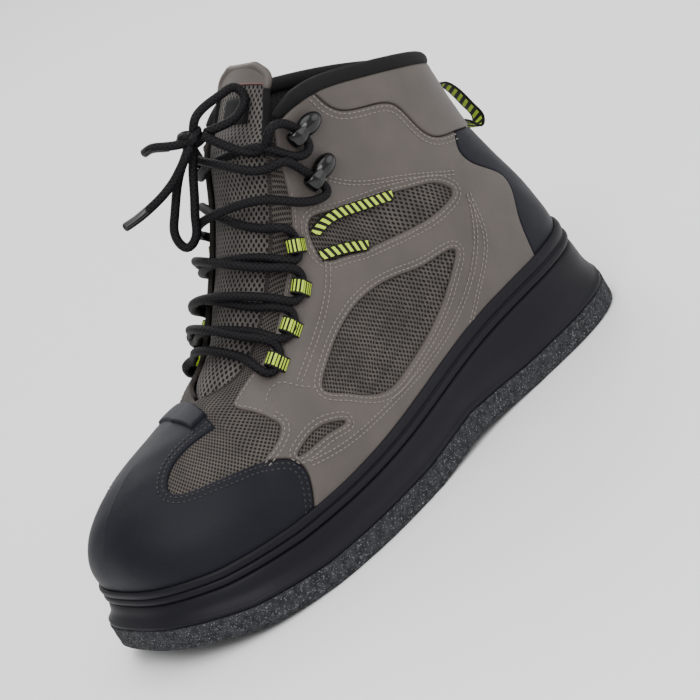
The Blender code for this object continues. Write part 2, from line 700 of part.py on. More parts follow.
def rand():
    """Beaded strip round the foot of the upper: two rounded ribs with a groove between."""
    turns = column_turns()
    clear = 2 * GAP + LEATHER
    foot, out = rim(turns, np.full(COLUMNS, FEATHER_INSET))
    out = np.column_stack([out, np.zeros(COLUMNS)])
    foot = np.column_stack([foot, feather_height(foot[:, 0])])

    def below(outward, drop):
        return foot + out * outward - (0, 0, drop)

    sections = np.stack([
        below(GAP, RAND_DROP),
        skin(turns, 0, clear),
        skin(turns, RAND_RISE, clear),
        skin(turns, RAND_RISE * 0.95, clear + 0.6 * BEAD_UPPER),
        skin(turns, RAND_RISE * 0.55, clear + BEAD_UPPER),
        skin(turns, RAND_RISE * 0.10, clear + BEAD_GROOVE),
        below(clear + BEAD_LOWER, 0.30 * RAND_DROP),
        below(clear + BEAD_LOWER, 0.70 * RAND_DROP),
        below(clear + 0.5 * BEAD_LOWER, RAND_DROP),
    ], axis=1)
    tube_around("rand", list(sections), rubber())


def insole():
    inset = FEATHER_INSET + WALL + INSOLE_PLAY
    plate("insole", [
        rim_ring(inset, "feather", 0),
        rim_ring(inset, "feather", INSOLE_THICKNESS),
    ], material("black_foam", (0.02, 0.02, 0.022), 0.9))


# Upper and its leather

def upper():
    """One hollow wall of fabric and lining, open at the throat, the collar and underneath."""
    tall = ROWS + 1
    turns, rises = GRID_TURN[:-1].ravel(), GRID_RISE[:-1].ravel()
    points = np.vstack([skin(turns, rises, 0), skin(turns, rises, -WALL)])
    inner = COLUMNS * tall
    faces = []
    for i in range(COLUMNS):
        k = (i + 1) % COLUMNS
        for j in range(ROWS):
            a, b, c, d = i * tall + j, k * tall + j, k * tall + j + 1, i * tall + j + 1
            faces += [(a, b, c), (a, c, d), (inner + a, inner + c, inner + b),
                      (inner + a, inner + d, inner + c)]
        a, b = i * tall, k * tall
        faces.append((b, a, inner + a, inner + b))
        middle = (i + 0.5) / COLUMNS
        if 2 * min(middle, 1 - middle) > RIDGE_END:
            a, b = a + ROWS, b + ROWS
            faces.append((a, b, inner + b, inner + a))
    add_piece("upper", points, faces, mesh_fabric())


def toe_cap():
    """Coated cap with two wings and a strip up the vamp to the throat."""
    half = joined(smooth_line(on_foot(CAP_EDGE)), smooth_line(CAP_SWEEP), STRIP_END)
    outline = joined(half, (half * (-1, 1))[::-1])
    overlay("toe_cap", outline, black_leather())


def heel_counter():
    lateral = smooth_line(on_foot(COUNTER_EDGE))
    overlay("heel_counter", joined(lateral, smooth_line(COUNTER_TOP), mirrored(lateral)[::-1]),
            black_leather())


def eyelet_ring(turn, rise, radius, count=12):
    angles = np.arange(count) * 2 * math.pi / count
    ring = np.column_stack([np.cos(angles), np.sin(angles)]) * radius
    rib = last_point(turn, np.array([rise - 0.02, rise + 0.02]))
    scale = (RIM_LENGTH, np.linalg.norm(rib[1] - rib[0]) / 0.04)
    return np.array([turn, rise]) + ring / scale


def quarters():
    """Leather of each side, cut out for the mesh windows and the drain eyelets."""
    for side_name, side in SIDES.items():
        outline = joined(
            smooth_line(on_foot(COUNTER_EDGE)),
            smooth_line(CUFF_EDGE[side_name]),
            smooth_line(FRONT_EDGE)[::-1],
            smooth_line(VAMP_EDGE)[::-1],
            smooth_line(on_foot(CAP_EDGE))[::-1])
        holes = [smooth_line(window, closed=True) for window in WINDOWS[side_name]]
        if side_name == "medial":
            holes += [eyelet_ring(*place, EYELET_BORE) for place in EYELETS]
        overlay(f"quarter_{side_name}", placed(outline, side), leather(),
                [placed(hole, side) for hole in holes])


def cuff():
    """Leather round the back of the ankle, above the counter."""
    lateral = smooth_line(CUFF_EDGE["lateral"])
    medial = mirrored(smooth_line(CUFF_EDGE["medial"]))
    overlay("cuff", joined(lateral[::-1], smooth_line(COUNTER_TOP), medial), leather())


def collar_binding():
    """Padded tube along the collar's top edge."""
    turns = np.linspace(0.352, 0.648, 25)
    top, below = last_point(turns, 1.0), last_point(turns, 0.97)
    rise = unit(top - below)
    normal = last_normal(turns, 1.0)
    centre = top - normal * WALL / 2 + rise * (BINDING_RADIUS + GAP)
    angles = (np.arange(8) + 0.5) * math.pi / 4
    sections = [c + BINDING_RADIUS * (np.outer(np.cos(angles), n) + np.outer(np.sin(angles), r))
                for c, n, r in zip(centre, normal, rise)]
    bar("collar_binding", sections, material("black_knit", (0.015, 0.015, 0.017), 0.9))


# Throat: the tongue and the laces share the arch across it

def throat_side(share, side, offset, rise=1.0):
    return skin(share / 2 if side > 0 else 1 - share / 2, rise, offset)


def throat_forward(share):
    """Direction square to the throat's line, forward and up."""
    def middle(at):
        return 0.5 * (last_point(at / 2, 1.0) + last_point(1 - at / 2, 1.0))
    along = middle(min(share + 0.01, 1)) - middle(share - 0.01)
    return unit(np.array([along[2], 0, -along[0]]))


def across_throat(share, place, offset):
    """Point over the throat: place is 1 at the lateral edge, -1 at the medial one, and past
    them it runs down the upper by half a rise for each half-width."""
    side = 1 if place >= 0 else -1
    if abs(place) > 1:
        return throat_side(share, side, offset, 1 - 0.5 * (abs(place) - 1))
    left, right = throat_side(share, 1, 0), throat_side(share, -1, 0)
    gap = np.linalg.norm(left - right) / BALL_WIDTH
    forward = throat_forward(share)
    edge = last_normal(share / 2 if side > 0 else 1 - share / 2, 1.0)
    lift = unit(forward * (1 - abs(place)) + edge * abs(place))
    crown = THROAT_CROWN * min(1, gap / 0.35) * (1 - place ** 2)
    return 0.5 * (left + right) + 0.5 * place * (left - right) + forward * crown + lift * offset


def tongue_section(share, half, push, thin=1.0):
    places = np.linspace(-half, half, TONGUE_COLUMNS + 1)
    under = -(WALL + TONGUE_PLAY)
    front = [across_throat(share, c, under) for c in places]
    pad = TONGUE_EDGE + (TONGUE_THICKNESS * thin - TONGUE_EDGE) * (1 - (places / half) ** 4)
    back = [across_throat(share, c, under - thick) for c, thick in zip(places, pad)]
    return np.array(front + back[::-1]) + push


def tongue_stations():
    """The grid's columns between the tongue's lowest and highest row."""
    low, high = TONGUE_ROWS[0][0] * COLUMNS / 2, TONGUE_ROWS[-1][0] * COLUMNS / 2
    return np.arange(math.ceil(low), math.floor(high) + 1) * 2 / COLUMNS


def tongue_direction():
    low, high = tongue_stations()[[-3, -1]]
    return unit(across_throat(high, 0, 0) - across_throat(low, 0, 0))


def tongue():
    """Padded tongue under the throat's edges, rising above the collar."""
    shares, halves = np.array(TONGUE_ROWS).T
    stations = tongue_stations()
    sections = [tongue_section(share, np.interp(share, shares, halves), 0) for share in stations]
    reach = tongue_direction() * TONGUE_REACH
    sections += [tongue_section(stations[-1], half, reach * height, 1 - 0.4 * height ** 3)
                 for height, half in TONGUE_TIP_ROWS]
    bar("tongue", sections, mesh_fabric())


def tongue_label():
    """Bare sewn patch on the tongue, just above the collar's front."""
    share = tongue_stations()[-1]
    half = LABEL_WIDTH / np.linalg.norm(throat_side(share, 1, 0) - throat_side(share, -1, 0))
    low = GAP - WALL - TONGUE_PLAY
    places = np.linspace(-half, half, 5)
    face = np.array([across_throat(share, c, low + LABEL_THICKNESS) for c in places]
                    + [across_throat(share, c, low) for c in places[::-1]])
    bar("tongue_label", [face + tongue_direction() * LABEL_HEIGHT * height
                         for height in (0.1, 1.1)], black_cord())


# Lace holders

def keeper_frame(side, turn):
    """A keeper stands square to the leather's front edge and starts just short of it."""
    edge = smooth_line(FRONT_EDGE)
    half = KEEPER_WIDTH / 2 / RIM_LENGTH
    ends = np.array([turn - half, turn + half])
    rises = np.interp(ends, edge[:, 0], edge[:, 1])
    turns = ends if side > 0 else 1 - ends
    low, high = last_point(turns, rises)
    middle = rises.mean()
    centre_turn = turn if side > 0 else 1 - turn
    normal = last_normal(centre_turn, middle)
    ahead = side * np.cross(normal, high - low)
    ahead = unit(ahead - normal * np.dot(ahead, normal))
    by_turn = (high - low) / (turns[1] - turns[0])
    by_rise = last_point(centre_turn, middle + 0.02) - last_point(centre_turn, middle)
    reach = ahead * (KEEPER_LENGTH + 3 * GAP)
    d_turn, d_rise = np.linalg.lstsq(np.column_stack([by_turn, by_rise / 0.02]), reach, rcond=None)[0]
    place = (centre_turn + d_turn, middle + d_rise)
    if side < 0:
        place = (1 - place[0], place[1])
    return seated_frame(side, place, ahead, (-KEEPER_LENGTH, LACE_BORE + KEEPER_WALL), KEEPER_WIDTH,
                        0.0)


def lace_keepers():
    """Short folded webbing loops sewn along the eyestay, open round the lace."""
    centre = np.array([0.0, LACE_BORE + KEEPER_WALL])
    angles = np.radians([-90, -60, -30, 0, 30, 60, 90, 125, 170, 225])
    hole = centre + LACE_BORE * np.column_stack([np.cos(angles), np.sin(angles)])
    outer = centre + (LACE_BORE + KEEPER_WALL) * np.column_stack([np.cos(angles), np.sin(angles)])
    outer[-2:] = (-KEEPER_LENGTH, 2 * KEEPER_WALL), (-KEEPER_LENGTH, 0)
    for side_name, side in SIDES.items():
        for number, turn in enumerate(KEEPER_TURNS, 1):
            extruded(f"lace_keeper_{side_name}_{number}", outer, keeper_frame(side, turn),
                     KEEPER_WIDTH, webbing(), hole)


def hook_frame(side, place):
    inner, centre = hook_bend()
    return seated_frame(side, place, "front", (-HOOK_PLATE / 2, centre[0] + inner), HOOK_WIDTH,
                        LEATHER + GAP)


def hook_bend():
    """Inner radius of a hook's bend and the bend's centre, ahead of and above the plate."""
    return LACE_BORE, np.array([HOOK_PLATE / 2, LACE_BORE + HOOK_METAL])


def lace_hooks():
    """Speed hooks: a riveted plate whose front end is bent back over the lace."""
    inner, centre = hook_bend()
    outer = inner + HOOK_METAL
    angles = np.radians(np.linspace(-90, 90, 7))
    arc = np.column_stack([np.cos(angles), np.sin(angles)])
    rear, tip = -HOOK_PLATE / 2, centre[0] - HOOK_RETURN
    profile = [(rear, 0), *(centre + outer * arc), (tip, centre[1] + outer),
               (tip, centre[1] + inner), *(centre + inner * arc)[::-1], (rear, HOOK_METAL)]
    for side_name, side in SIDES.items():
        for number, place in enumerate(HOOKS, 1):
            extruded(f"lace_hook_{side_name}_{number}", profile, hook_frame(side, place),
                     HOOK_WIDTH, material("black_gloss_hook", (0.01, 0.01, 0.011), 0.2, 0.6))


def band_outline(start, end, width):
    """Four corners of a straight band between two places on the upper."""
    start, end = np.array(start) * DOMAIN, np.array(end) * DOMAIN
    ahead = unit(end - start)
    across = np.array([-ahead[1], ahead[0]]) * width / 2
    return np.array([start + across, start - across, end - across, end + across]) / DOMAIN


def webbing_straps():
    """Two striped straps a side, from the top keeper back to the ankle seam."""
    low = LEATHER + 2 * GAP
    for side_name, side in SIDES.items():
        for number, (start, end) in enumerate(WEBBING_STRAPS, 1):
            overlay(f"webbing_{side_name}_{number}",
                    placed(band_outline(start, end, WEBBING_WIDTH), side), webbing(),
                    low=low, high=low + WEBBING_THICKNESS)


def drain_eyelets():
    """Rolled metal rings round the two drain holes on the medial side."""
    profile = ((EYELET_BORE, 0), (EYELET_RADIUS, 0), (EYELET_RADIUS, 0.5 * EYELET_HEIGHT),
               ((EYELET_RADIUS + EYELET_BORE) / 2, EYELET_HEIGHT),
               (EYELET_BORE, 0.5 * EYELET_HEIGHT))
    count = 14
    for number, place in enumerate(EYELETS, 1):
        reach = (-EYELET_RADIUS, EYELET_RADIUS)
        origin, ahead, across, normal = seated_frame(-1, place, "throat", reach,
                                                     2 * EYELET_RADIUS, LEATHER + GAP)
        sections = []
        for angle in np.arange(count) * 2 * math.pi / count:
            out = ahead * math.cos(angle) + across * math.sin(angle)
            sections.append(np.array([origin + out * radius + normal * height
                                      for radius, height in profile]))
        tube_around(f"drain_eyelet_{number}", sections,
                    material("dull_grey_metal", (0.30, 0.28, 0.26), 0.4, 0.8))


def pull_loop():
    """Webbing loop that stands out behind the ankle, sewn on at both ends."""
    turn, rise = 0.5, 0.86
    clear = LEATHER + 2 * GAP + PULL_WEBBING / 4
    back = last_point(turn, rise) + last_normal(turn, rise) * clear
    low = last_point(turn, rise - 0.16) + last_normal(turn, rise - 0.16) * clear
    half = PULL_WEBBING / 2
    path = np.array([
        (back[0] - half, back[2]),
        (back[0] - 0.35 * PULL_REACH, back[2] + 0.09 * PULL_HEIGHT),
        (back[0] - 0.72 * PULL_REACH, back[2] - 0.16 * PULL_HEIGHT),
        (back[0] - 0.96 * PULL_REACH, back[2] - 0.62 * PULL_HEIGHT),
        (back[0] - 1.00 * PULL_REACH, back[2] - 0.93 * PULL_HEIGHT),
        (back[0] - 0.86 * PULL_REACH, back[2] - 1.00 * PULL_HEIGHT),
        (back[0] - 0.64 * PULL_REACH, back[2] - 0.86 * PULL_HEIGHT),
        (low[0] - half, low[2]),
    ])
    along = unit(np.gradient(path, axis=0))
    side = np.column_stack([-along[:, 1], along[:, 0]]) * half
    sections = [np.array([(x, y + HEEL_TIP * BALL_WIDTH, z)
                          for (x, z), y in ((p + s, -PULL_WIDTH / 2), (p + s, PULL_WIDTH / 2),
                                            (p - s, PULL_WIDTH / 2), (p - s, -PULL_WIDTH / 2))])
                for p, s in zip(path, side)]
    bar("pull_loop", sections, webbing())


# Laces: one lace from the knot down to the lowest keepers and back up to the knot

def anchors(side):
    """Where each keeper and hook holds the lace, lowest first: its middle, the way up through
    it, the normal there, half the straight run and the run on before the turn."""
    held = []
    for turn in KEEPER_TURNS:
        origin, _, across, normal = keeper_frame(side, turn)
        held.append((origin + normal * (LACE_BORE + KEEPER_WALL), across, normal,
                     KEEPER_WIDTH / 2 + KEEPER_LEAD, KEEPER_TURN))
    centre = hook_bend()[1]
    for place in HOOKS:
        origin, ahead, across, normal = hook_frame(side, place)
        held.append((origin + ahead * centre[0] + normal * centre[1], across, normal,
                     HOOK_WIDTH / 2 + HOOK_LEAD, HOOK_TURN))
    return [(point, across * np.sign(across[2]), *rest) for point, across, *rest in held]


def nearest_share(point, side):
    """Share of the throat's edge that lies nearest to a point."""
    shares = np.linspace(*LACE_SHARES, 100)
    gaps = np.linalg.norm(throat_side(shares, side, 0) - point, axis=1)
    return shares[np.argmin(gaps)]


def over_mesh(end, first, run_on, normal):
    """Point between an anchor and the throat's edge, lifted over the bulge between them."""
    return 0.5 * (end + first) + run_on + normal * LACE_BULGE


def crossing(start, end, side, over):
    """Points of a lace from the top of one anchor over the throat to the foot of the next."""
    point_a, up_a, normal_a, lead_a, turn_a = start
    point_b, up_b, normal_b, lead_b, turn_b = end
    top, foot = point_a + up_a * lead_a, point_b - up_b * lead_b
    share_a, share_b = nearest_share(top, side), nearest_share(foot, -side)
    points = []
    for place, way in LACE_CROSSING:
        lift = LACE / 2 + LACE_CLEAR
        if over:
            lift += (LACE + GAP) * min(1, 1.5 - abs(place))
        points.append(across_throat(share_a + (share_b - share_a) * way, side * place, lift))
    return [top, over_mesh(top, points[0], up_a * turn_a, normal_a), *points,
            over_mesh(foot, points[-1], -up_b * turn_b, normal_b), foot]


def lace_bars():
    held = {side: anchors(side) for side in SIDES.values()}
    strands = {}
    for side in SIDES.values():
        route, here = [], side
        for level in range(len(KEEPER_TURNS) + len(HOOKS) - 1):
            route += crossing(held[here][level], held[-here][level + 1], here, side > 0)
            here = -here
        point, up, normal, lead, turn = held[here][-1]
        near = across_throat(LACE_SHARES[1], 0.9 * here, LACE / 2 + LACE_CLEAR + LEATHER)
        top = point + up * lead
        end = np.array(KNOT_CENTRE) + (0, here * (KNOT_SIZE[1] / 2 + LACE / 2), 0)
        route += [top, over_mesh(top, near, up * turn, normal), near, end]
        strands[side] = route
    foot = [held[side][0] for side in (1, -1)]
    low = [point - up * lead for point, up, _, lead, _ in foot]
    share = nearest_share(low[0], 1)
    under = [across_throat(share, place, LACE / 2 + LACE_CLEAR) for place in (1.0, 0.5, -0.5, -1.0)]
    ends = [over_mesh(end, near, -up * turn, normal)
            for end, near, (_, up, normal, _, turn) in zip(low, (under[0], under[-1]), foot)]
    add_cord("lace_bars", [*strands[1][::-1], low[0], ends[0], *under, ends[1], low[1], *strands[-1]])


def lace_knot():
    """Rounded knot in front of the tongue; the bow and the ends start at it."""
    made = bmesh.new()
    bmesh.ops.create_icosphere(made, subdivisions=2, radius=1.0)
    points = [np.array(KNOT_CENTRE) + 0.5 * np.array(KNOT_SIZE) * vert.co for vert in made.verts]
    faces = [[vert.index for vert in face.verts] for face in made.faces]
    made.free()
    add_piece("lace_knot", points, faces, black_cord(), 60)


def bow():
    """The bow's loops and ends, along routes through a few points that were read off the photo."""
    for name, points in BOW_ROUTES.items():
        points = np.array(points)
        steps = np.linalg.norm(np.diff(points, axis=0), axis=1)
        knots = np.append(0, np.cumsum(steps))
        count = math.ceil(knots[-1] / (BOW_STEP * LACE)) + 1
        add_cord(name, smooth_curve(knots, points)(np.linspace(0, knots[-1], count)))


def add_cord(name, points):
    """A round cord with filled ends along a polyline."""
    curve = bpy.data.curves.new(name, "CURVE")
    curve.dimensions = "3D"
    curve.bevel_depth = LACE / 2
    curve.bevel_resolution = 2
    curve.use_fill_caps = True
    line = curve.splines.new("POLY")
    line.points.add(len(points) - 1)
    for spot, point in zip(line.points, points):
        spot.co = (*point, 1)
    curve.materials.append(black_cord())
    piece = bpy.data.objects.new(name, curve)
    bpy.context.collection.objects.link(piece)


def clear_scene():
    for old in list(bpy.data.objects):
        bpy.data.objects.remove(old, do_unlink=True)


def main():
    clear_scene()
    outsole_felt()
    midsole_wall()
    rand()
    insole()
    upper()
    toe_cap()
    heel_counter()
    quarters()
    cuff()
    collar_binding()
    tongue()
    tongue_label()
    lace_keepers()
    lace_hooks()
    webbing_straps()
    drain_eyelets()
    pull_loop()
    lace_bars()
    lace_knot()
    bow()


main()
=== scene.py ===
"""Looks of the left wading boot: dense leather, mesh, rubber, felt, laces and a bow.

A place on the boot is (turn, rise), as in the part's source: the turn runs once round the rim
from the toe tip by the lateral side, the rise from the feather line to the top edge.
"""
import math

import bmesh
import bpy
import numpy as np
from mathutils import Matrix, Vector
from mathutils.geometry import delaunay_2d_cdt


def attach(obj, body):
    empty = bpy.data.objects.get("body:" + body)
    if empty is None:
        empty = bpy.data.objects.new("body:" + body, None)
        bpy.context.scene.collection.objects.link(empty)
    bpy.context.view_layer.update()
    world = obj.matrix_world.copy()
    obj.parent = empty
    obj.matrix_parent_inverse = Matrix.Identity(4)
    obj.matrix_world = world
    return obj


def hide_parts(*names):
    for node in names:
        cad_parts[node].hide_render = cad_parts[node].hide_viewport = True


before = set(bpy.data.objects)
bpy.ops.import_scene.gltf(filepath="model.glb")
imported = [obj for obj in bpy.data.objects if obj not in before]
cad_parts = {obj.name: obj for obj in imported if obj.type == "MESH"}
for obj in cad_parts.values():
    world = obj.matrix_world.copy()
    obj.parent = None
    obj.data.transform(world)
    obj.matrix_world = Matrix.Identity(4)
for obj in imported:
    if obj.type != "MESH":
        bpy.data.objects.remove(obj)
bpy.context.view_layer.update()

# Sizes of the part
SOLE_LENGTH = 0.318
BALL_WIDTH = 0.130
BALL_STACK = 0.031           # floor to feather line under the ball
HEEL_STACK = 0.0425          # floor to feather line at the heel
TOE_SPRING = 0.0105
ARCH_RISE = 0.0035
UPPER_HEIGHT = 0.150         # height that the rib table's shares are of
FEATHER_INSET = 0.0095       # how far the feather line lies inside the sole's rim
FELT_THICKNESS = 0.0115
WALL = 0.0022                # fabric and lining of the upper
LEATHER = 0.0012
GAP = 0.0003                 # between neighbouring pieces
FELT_CHAMFER = 0.0010

# Rubber wall and its beaded rand
WALL_TOP_INSET = 0.0062
WALL_FOOT_INSET = 0.0006
WALL_LIP = 0.0022
RAND_DROP = 0.0041           # from the feather line down to the rand's seat
RAND_RISE = 0.058            # share of the rise that the rand covers
BEAD_UPPER = 0.0020
BEAD_LOWER = 0.0028

# Collar, tongue and laces
BINDING_RADIUS = 0.0040
TONGUE_THICKNESS = 0.0050
TONGUE_REACH = 0.030         # how far the tongue stands above the collar's front
THROAT_CROWN = 0.0085        # how far the tongue arches over a straight line across
LACE = 0.0046                # diameter
LACE_BORE = 0.0029           # inner radius of what holds the lace
KEEPER_LEAD = 0.0026         # straight run of the lace past a keeper
KEEPER_TURN = 0.0010         # how far the lace runs on there before it turns to cross
HOOK_LEAD = 0.0050
HOOK_TURN = 0.0045
LACE_CLEAR = 0.0012          # under a lace where it crosses the throat
LACE_BULGE = 0.0030
KNOT_SIZE = (0.010, 0.017, 0.011)
KNOT_CENTRE = (-0.0025, -0.0030, 0.1950)
WEBBING_WIDTH = 0.0055
WEBBING_THICKNESS = 0.0014
KEEPER_WIDTH = 0.0075        # webbing loops that hold the lace
KEEPER_WALL = 0.0008
KEEPER_LENGTH = 0.0065       # from the lace back to the sewn end
HOOK_WIDTH = 0.0070
HOOK_METAL = 0.0012
HOOK_PLATE = 0.0120
PULL_WIDTH = 0.0100
PULL_WEBBING = 0.0014
PULL_REACH = 0.0170
PULL_HEIGHT = 0.0280

# Grid of the part's upper
COLUMNS = 64                 # round the boot
RIDGE_END = 18 / COLUMNS     # share of the way from toe to heel where the throat opens
CURVE_STEPS = 2              # between neighbouring points of the part's own edges
RIM_STEPS = 2000
SLOPE_STEP = 0.004           # in turns or rises, for slopes
RIDGE_STEP = 0.001           # the same along the ridge

# Half-widths of the sole are shares of the ball width, places along it shares of its length
OUTLINE = (
    # along, lateral, medial
    (0.014, 0.129, 0.171),
    (0.055, 0.254, 0.296),
    (0.130, 0.331, 0.369),
    (0.240, 0.357, 0.383),
    (0.355, 0.375, 0.359),
    (0.470, 0.425, 0.351),
    (0.590, 0.479, 0.403),
    (0.700, 0.499, 0.469),
    (0.800, 0.473, 0.499),
    (0.885, 0.403, 0.483),
    (0.950, 0.279, 0.415),
    (0.988, 0.127, 0.293),
)
TOE_TIP = -0.079             # share of the ball width
HEEL_TIP = -0.021

# Spring is a share of the toe spring, arch of the arch rise, heel of the heel's extra stack
SOLE_HEIGHTS = (
    # along, spring, feather spring, arch, heel
    (0.00, 0.19, 0.00, 0.0, 1.00),
    (0.05, 0.00, 0.00, 0.0, 1.00),
    (0.28, 0.00, 0.00, 0.0, 0.83),
    (0.42, 0.00, 0.00, 1.0, 0.42),
    (0.54, 0.00, 0.00, 0.0, 0.10),
    (0.78, 0.00, 0.00, 0.0, 0.00),
    (0.90, 0.33, 0.24, 0.0, 0.00),
    (1.00, 1.00, 0.72, 0.0, 0.00),
)

# One rib for each share of the way from toe to heel. Along is a share of the sole's length,
# side of the ball width, and height and the handles of the upper's height.
RIBS = (
    # share, along, side, height, low out, low up, high out, high down
    (0.000, 0.845, 0.000, 0.290, 0.072, 0.185, 0.165, 0.000),
    (0.100, 0.813, 0.000, 0.303, 0.065, 0.180, 0.177, 0.000),
    (0.200, 0.767, 0.000, 0.318, 0.043, 0.172, 0.175, 0.000),
    (0.281, 0.721, 0.000, 0.332, 0.027, 0.170, 0.165, 0.000),
    (0.310, 0.697, 0.105, 0.342, 0.020, 0.173, 0.120, 0.027),
    (0.350, 0.660, 0.160, 0.363, 0.020, 0.180, 0.093, 0.047),
    (0.420, 0.607, 0.190, 0.437, 0.020, 0.200, 0.080, 0.080),
    (0.500, 0.543, 0.208, 0.577, 0.020, 0.227, 0.067, 0.160),
    (0.580, 0.483, 0.215, 0.740, 0.020, 0.240, 0.053, 0.240),
    (0.650, 0.441, 0.223, 0.885, 0.024, 0.253, 0.040, 0.293),
    (0.700, 0.404, 0.238, 0.937, 0.024, 0.267, 0.024, 0.320),
    (0.740, 0.352, 0.262, 0.952, 0.024, 0.267, 0.008, 0.320),
    (0.800, 0.277, 0.285, 0.915, 0.020, 0.267, -0.008, 0.320),
    (0.870, 0.195, 0.285, 0.848, 0.016, 0.267, -0.020, 0.320),
    (0.940, 0.120, 0.192, 0.773, 0.013, 0.267, -0.027, 0.300),
    (1.000, 0.088, 0.000, 0.728, 0.013, 0.250, -0.027, 0.280),
)
TOE_BEND_FROM = 0.62         # share of the length where the centre line starts to bend in
RIDGE_FADE = 0.1             # share over which the ridge's slope dies out in the throat

# Seams of the leather, as (turn, rise); the medial turns are counted from the toe as well
CAP_EDGE = ((0.157, 0.0), (0.165, 0.150), (0.167, 0.270), (0.159, 0.360), (0.146, 0.410))
CAP_SWEEP = ((0.146, 0.410), (0.102, 0.485), (0.072, 0.575), (0.078, 0.690), (0.100, 0.730),
             (0.134, 0.705))
STRIP_END = ((0.134, 0.705), (0.134, 1.0))
FRONT_EDGE = ((0.180, 0.630), (0.204, 0.672), (0.242, 0.695), (0.274, 0.725), (0.299, 0.795),
              (0.312, 0.865), (0.325, 0.935), (0.345, 1.0))
COUNTER_EDGE = ((0.4075, 0.0), (0.422, 0.235), (0.442, 0.410), (0.430, 0.530), (0.445, 0.680))
COUNTER_TOP = ((0.445, 0.680), (0.500, 0.665), (0.555, 0.680))
CUFF_EDGE = {
    "lateral": ((0.445, 0.680), (0.424, 0.700), (0.418, 0.870), (0.384, 0.905), (0.376, 1.0)),
    "medial": ((0.445, 0.680), (0.424, 0.695), (0.421, 0.800), (0.386, 0.860), (0.374, 1.0)),
}
OVERLAY_FOOT = 0.015         # rise at which the leather starts, behind the rand

# What holds the laces, from the lowest to the highest on each side; the keepers stand along
# the front edge of the leather at these turns, the rest at (turn, rise)
KEEPER_TURNS = (0.204, 0.232, 0.262, 0.288)
HOOKS = ((0.346, 0.800), (0.358, 0.930))
WEBBING_STRAPS = (((0.299, 0.757), (0.366, 0.575)), ((0.288, 0.717), (0.324, 0.540)))
EYELETS = ((0.214, 0.125), (0.246, 0.120))

# A crossing's route: place across the throat and share of the way from anchor to anchor
LACE_CROSSING = (
    # place, way
    (0.97, 0.12),
    (0.45, 0.25),
    (-0.45, 0.75),
    (-0.97, 0.88),
)
LACE_SHARES = (0.33, 0.655)  # stretch of the throat's edge that laces cross

# The bow: points in metres along each loop and end, from the knot outwards
BOW_ROUTES = {
    "bow_loop_1": ((-0.0055, 0.0035, 0.2030), (-0.0110, 0.0045, 0.2050), (-0.0180, 0.0060, 0.2055),
                   (-0.0250, 0.0070, 0.2055), (-0.0305, 0.0080, 0.2045), (-0.0315, 0.0100, 0.1990),
                   (-0.0265, 0.0110, 0.1950), (-0.0180, 0.0115, 0.1935), (-0.0105, 0.0095, 0.1945)),
    "bow_loop_2": ((0.0010, -0.0060, 0.1860), (0.0050, -0.0075, 0.1790), (0.0095, -0.0090, 0.1700),
                   (0.0150, -0.0105, 0.1600), (0.0195, -0.0125, 0.1520), (0.0235, -0.0165, 0.1500),
                   (0.0240, -0.0200, 0.1560), (0.0195, -0.0190, 0.1650), (0.0135, -0.0165, 0.1740),
                   (0.0075, -0.0135, 0.1820), (0.0015, -0.0110, 0.1875)),
    "lace_end_1": ((0.0050, -0.0025, 0.1900), (0.0090, -0.0050, 0.1868), (0.0140, -0.0090, 0.1825),
                   (0.0210, -0.0130, 0.1790), (0.0280, -0.0180, 0.1765), (0.0350, -0.0225, 0.1750),
                   (0.0405, -0.0260, 0.1745)),
    "lace_end_2": ((0.0060, -0.0080, 0.1965), (0.0095, -0.0115, 0.1985), (0.0125, -0.0150, 0.2000),
                   (0.0150, -0.0185, 0.1995)),
}

# The tongue's half-breadth, in throat half-widths, at shares of the way from toe to heel
TONGUE_ROWS = (
    # share, half-breadth
    (0.312, 1.10),
    (0.400, 1.22),
    (0.500, 1.22),
    (0.580, 1.18),
    (0.650, 1.02),
    (0.690, 0.88),
)
TONGUE_TIP_ROWS = (
    # share of the reach above the collar, half-breadth
    (0.35, 0.84),
    (0.70, 0.80),
    (0.92, 0.66),
    (1.00, 0.42),
)
TONGUE_PLAY = 0.0008         # between the tongue and the upper's inside

SIDES = {"lateral": 1, "medial": -1}


# Looks only: seams, quilting, camera and light

CAMERA_PLACE = (0.7401, 1.3331, 0.5617)
CAMERA_UP = (-0.5779, 0.0279, 0.8157)
CAMERA_FILL = 0.86           # of the picture
FIRST_AIM = (0, 0, 0.095)
SENSOR = 36.0                # mm
LIGHTS = (
    # name, place, size, power
    ("key", (0.9, 1.0, 1.3), 1.2, 24.0),
    ("fill", (-1.2, 1.1, 0.8), 1.6, 12.0),
    ("rear", (-0.6, -1.4, 1.2), 1.4, 16.0),
    ("top", (0.0, 0.1, 1.8), 1.6, 14.0),
)
LIGHT_AIM = (0, 0, 0.08)
WORLD_LIGHT = 0.8
FLOOR_REACH = 6
FLOOR_GREY = (0.86, 0.86, 0.86)
FABRIC_HEIGHT = 0.125        # length of a middling rib, for the weave
AGLET = 0.9894               # its radius as a share of the lace's
TONGUE_FOOT = 0.286          # share at which the tongue starts
HOOK_BEAD_BACK = -0.0030     # from the middle of the hook's plate
# Pieces of the part that stay, with their look
KEPT = {"insole": "foam", "drain_eyelet_1": "metal", "drain_eyelet_2": "metal"}
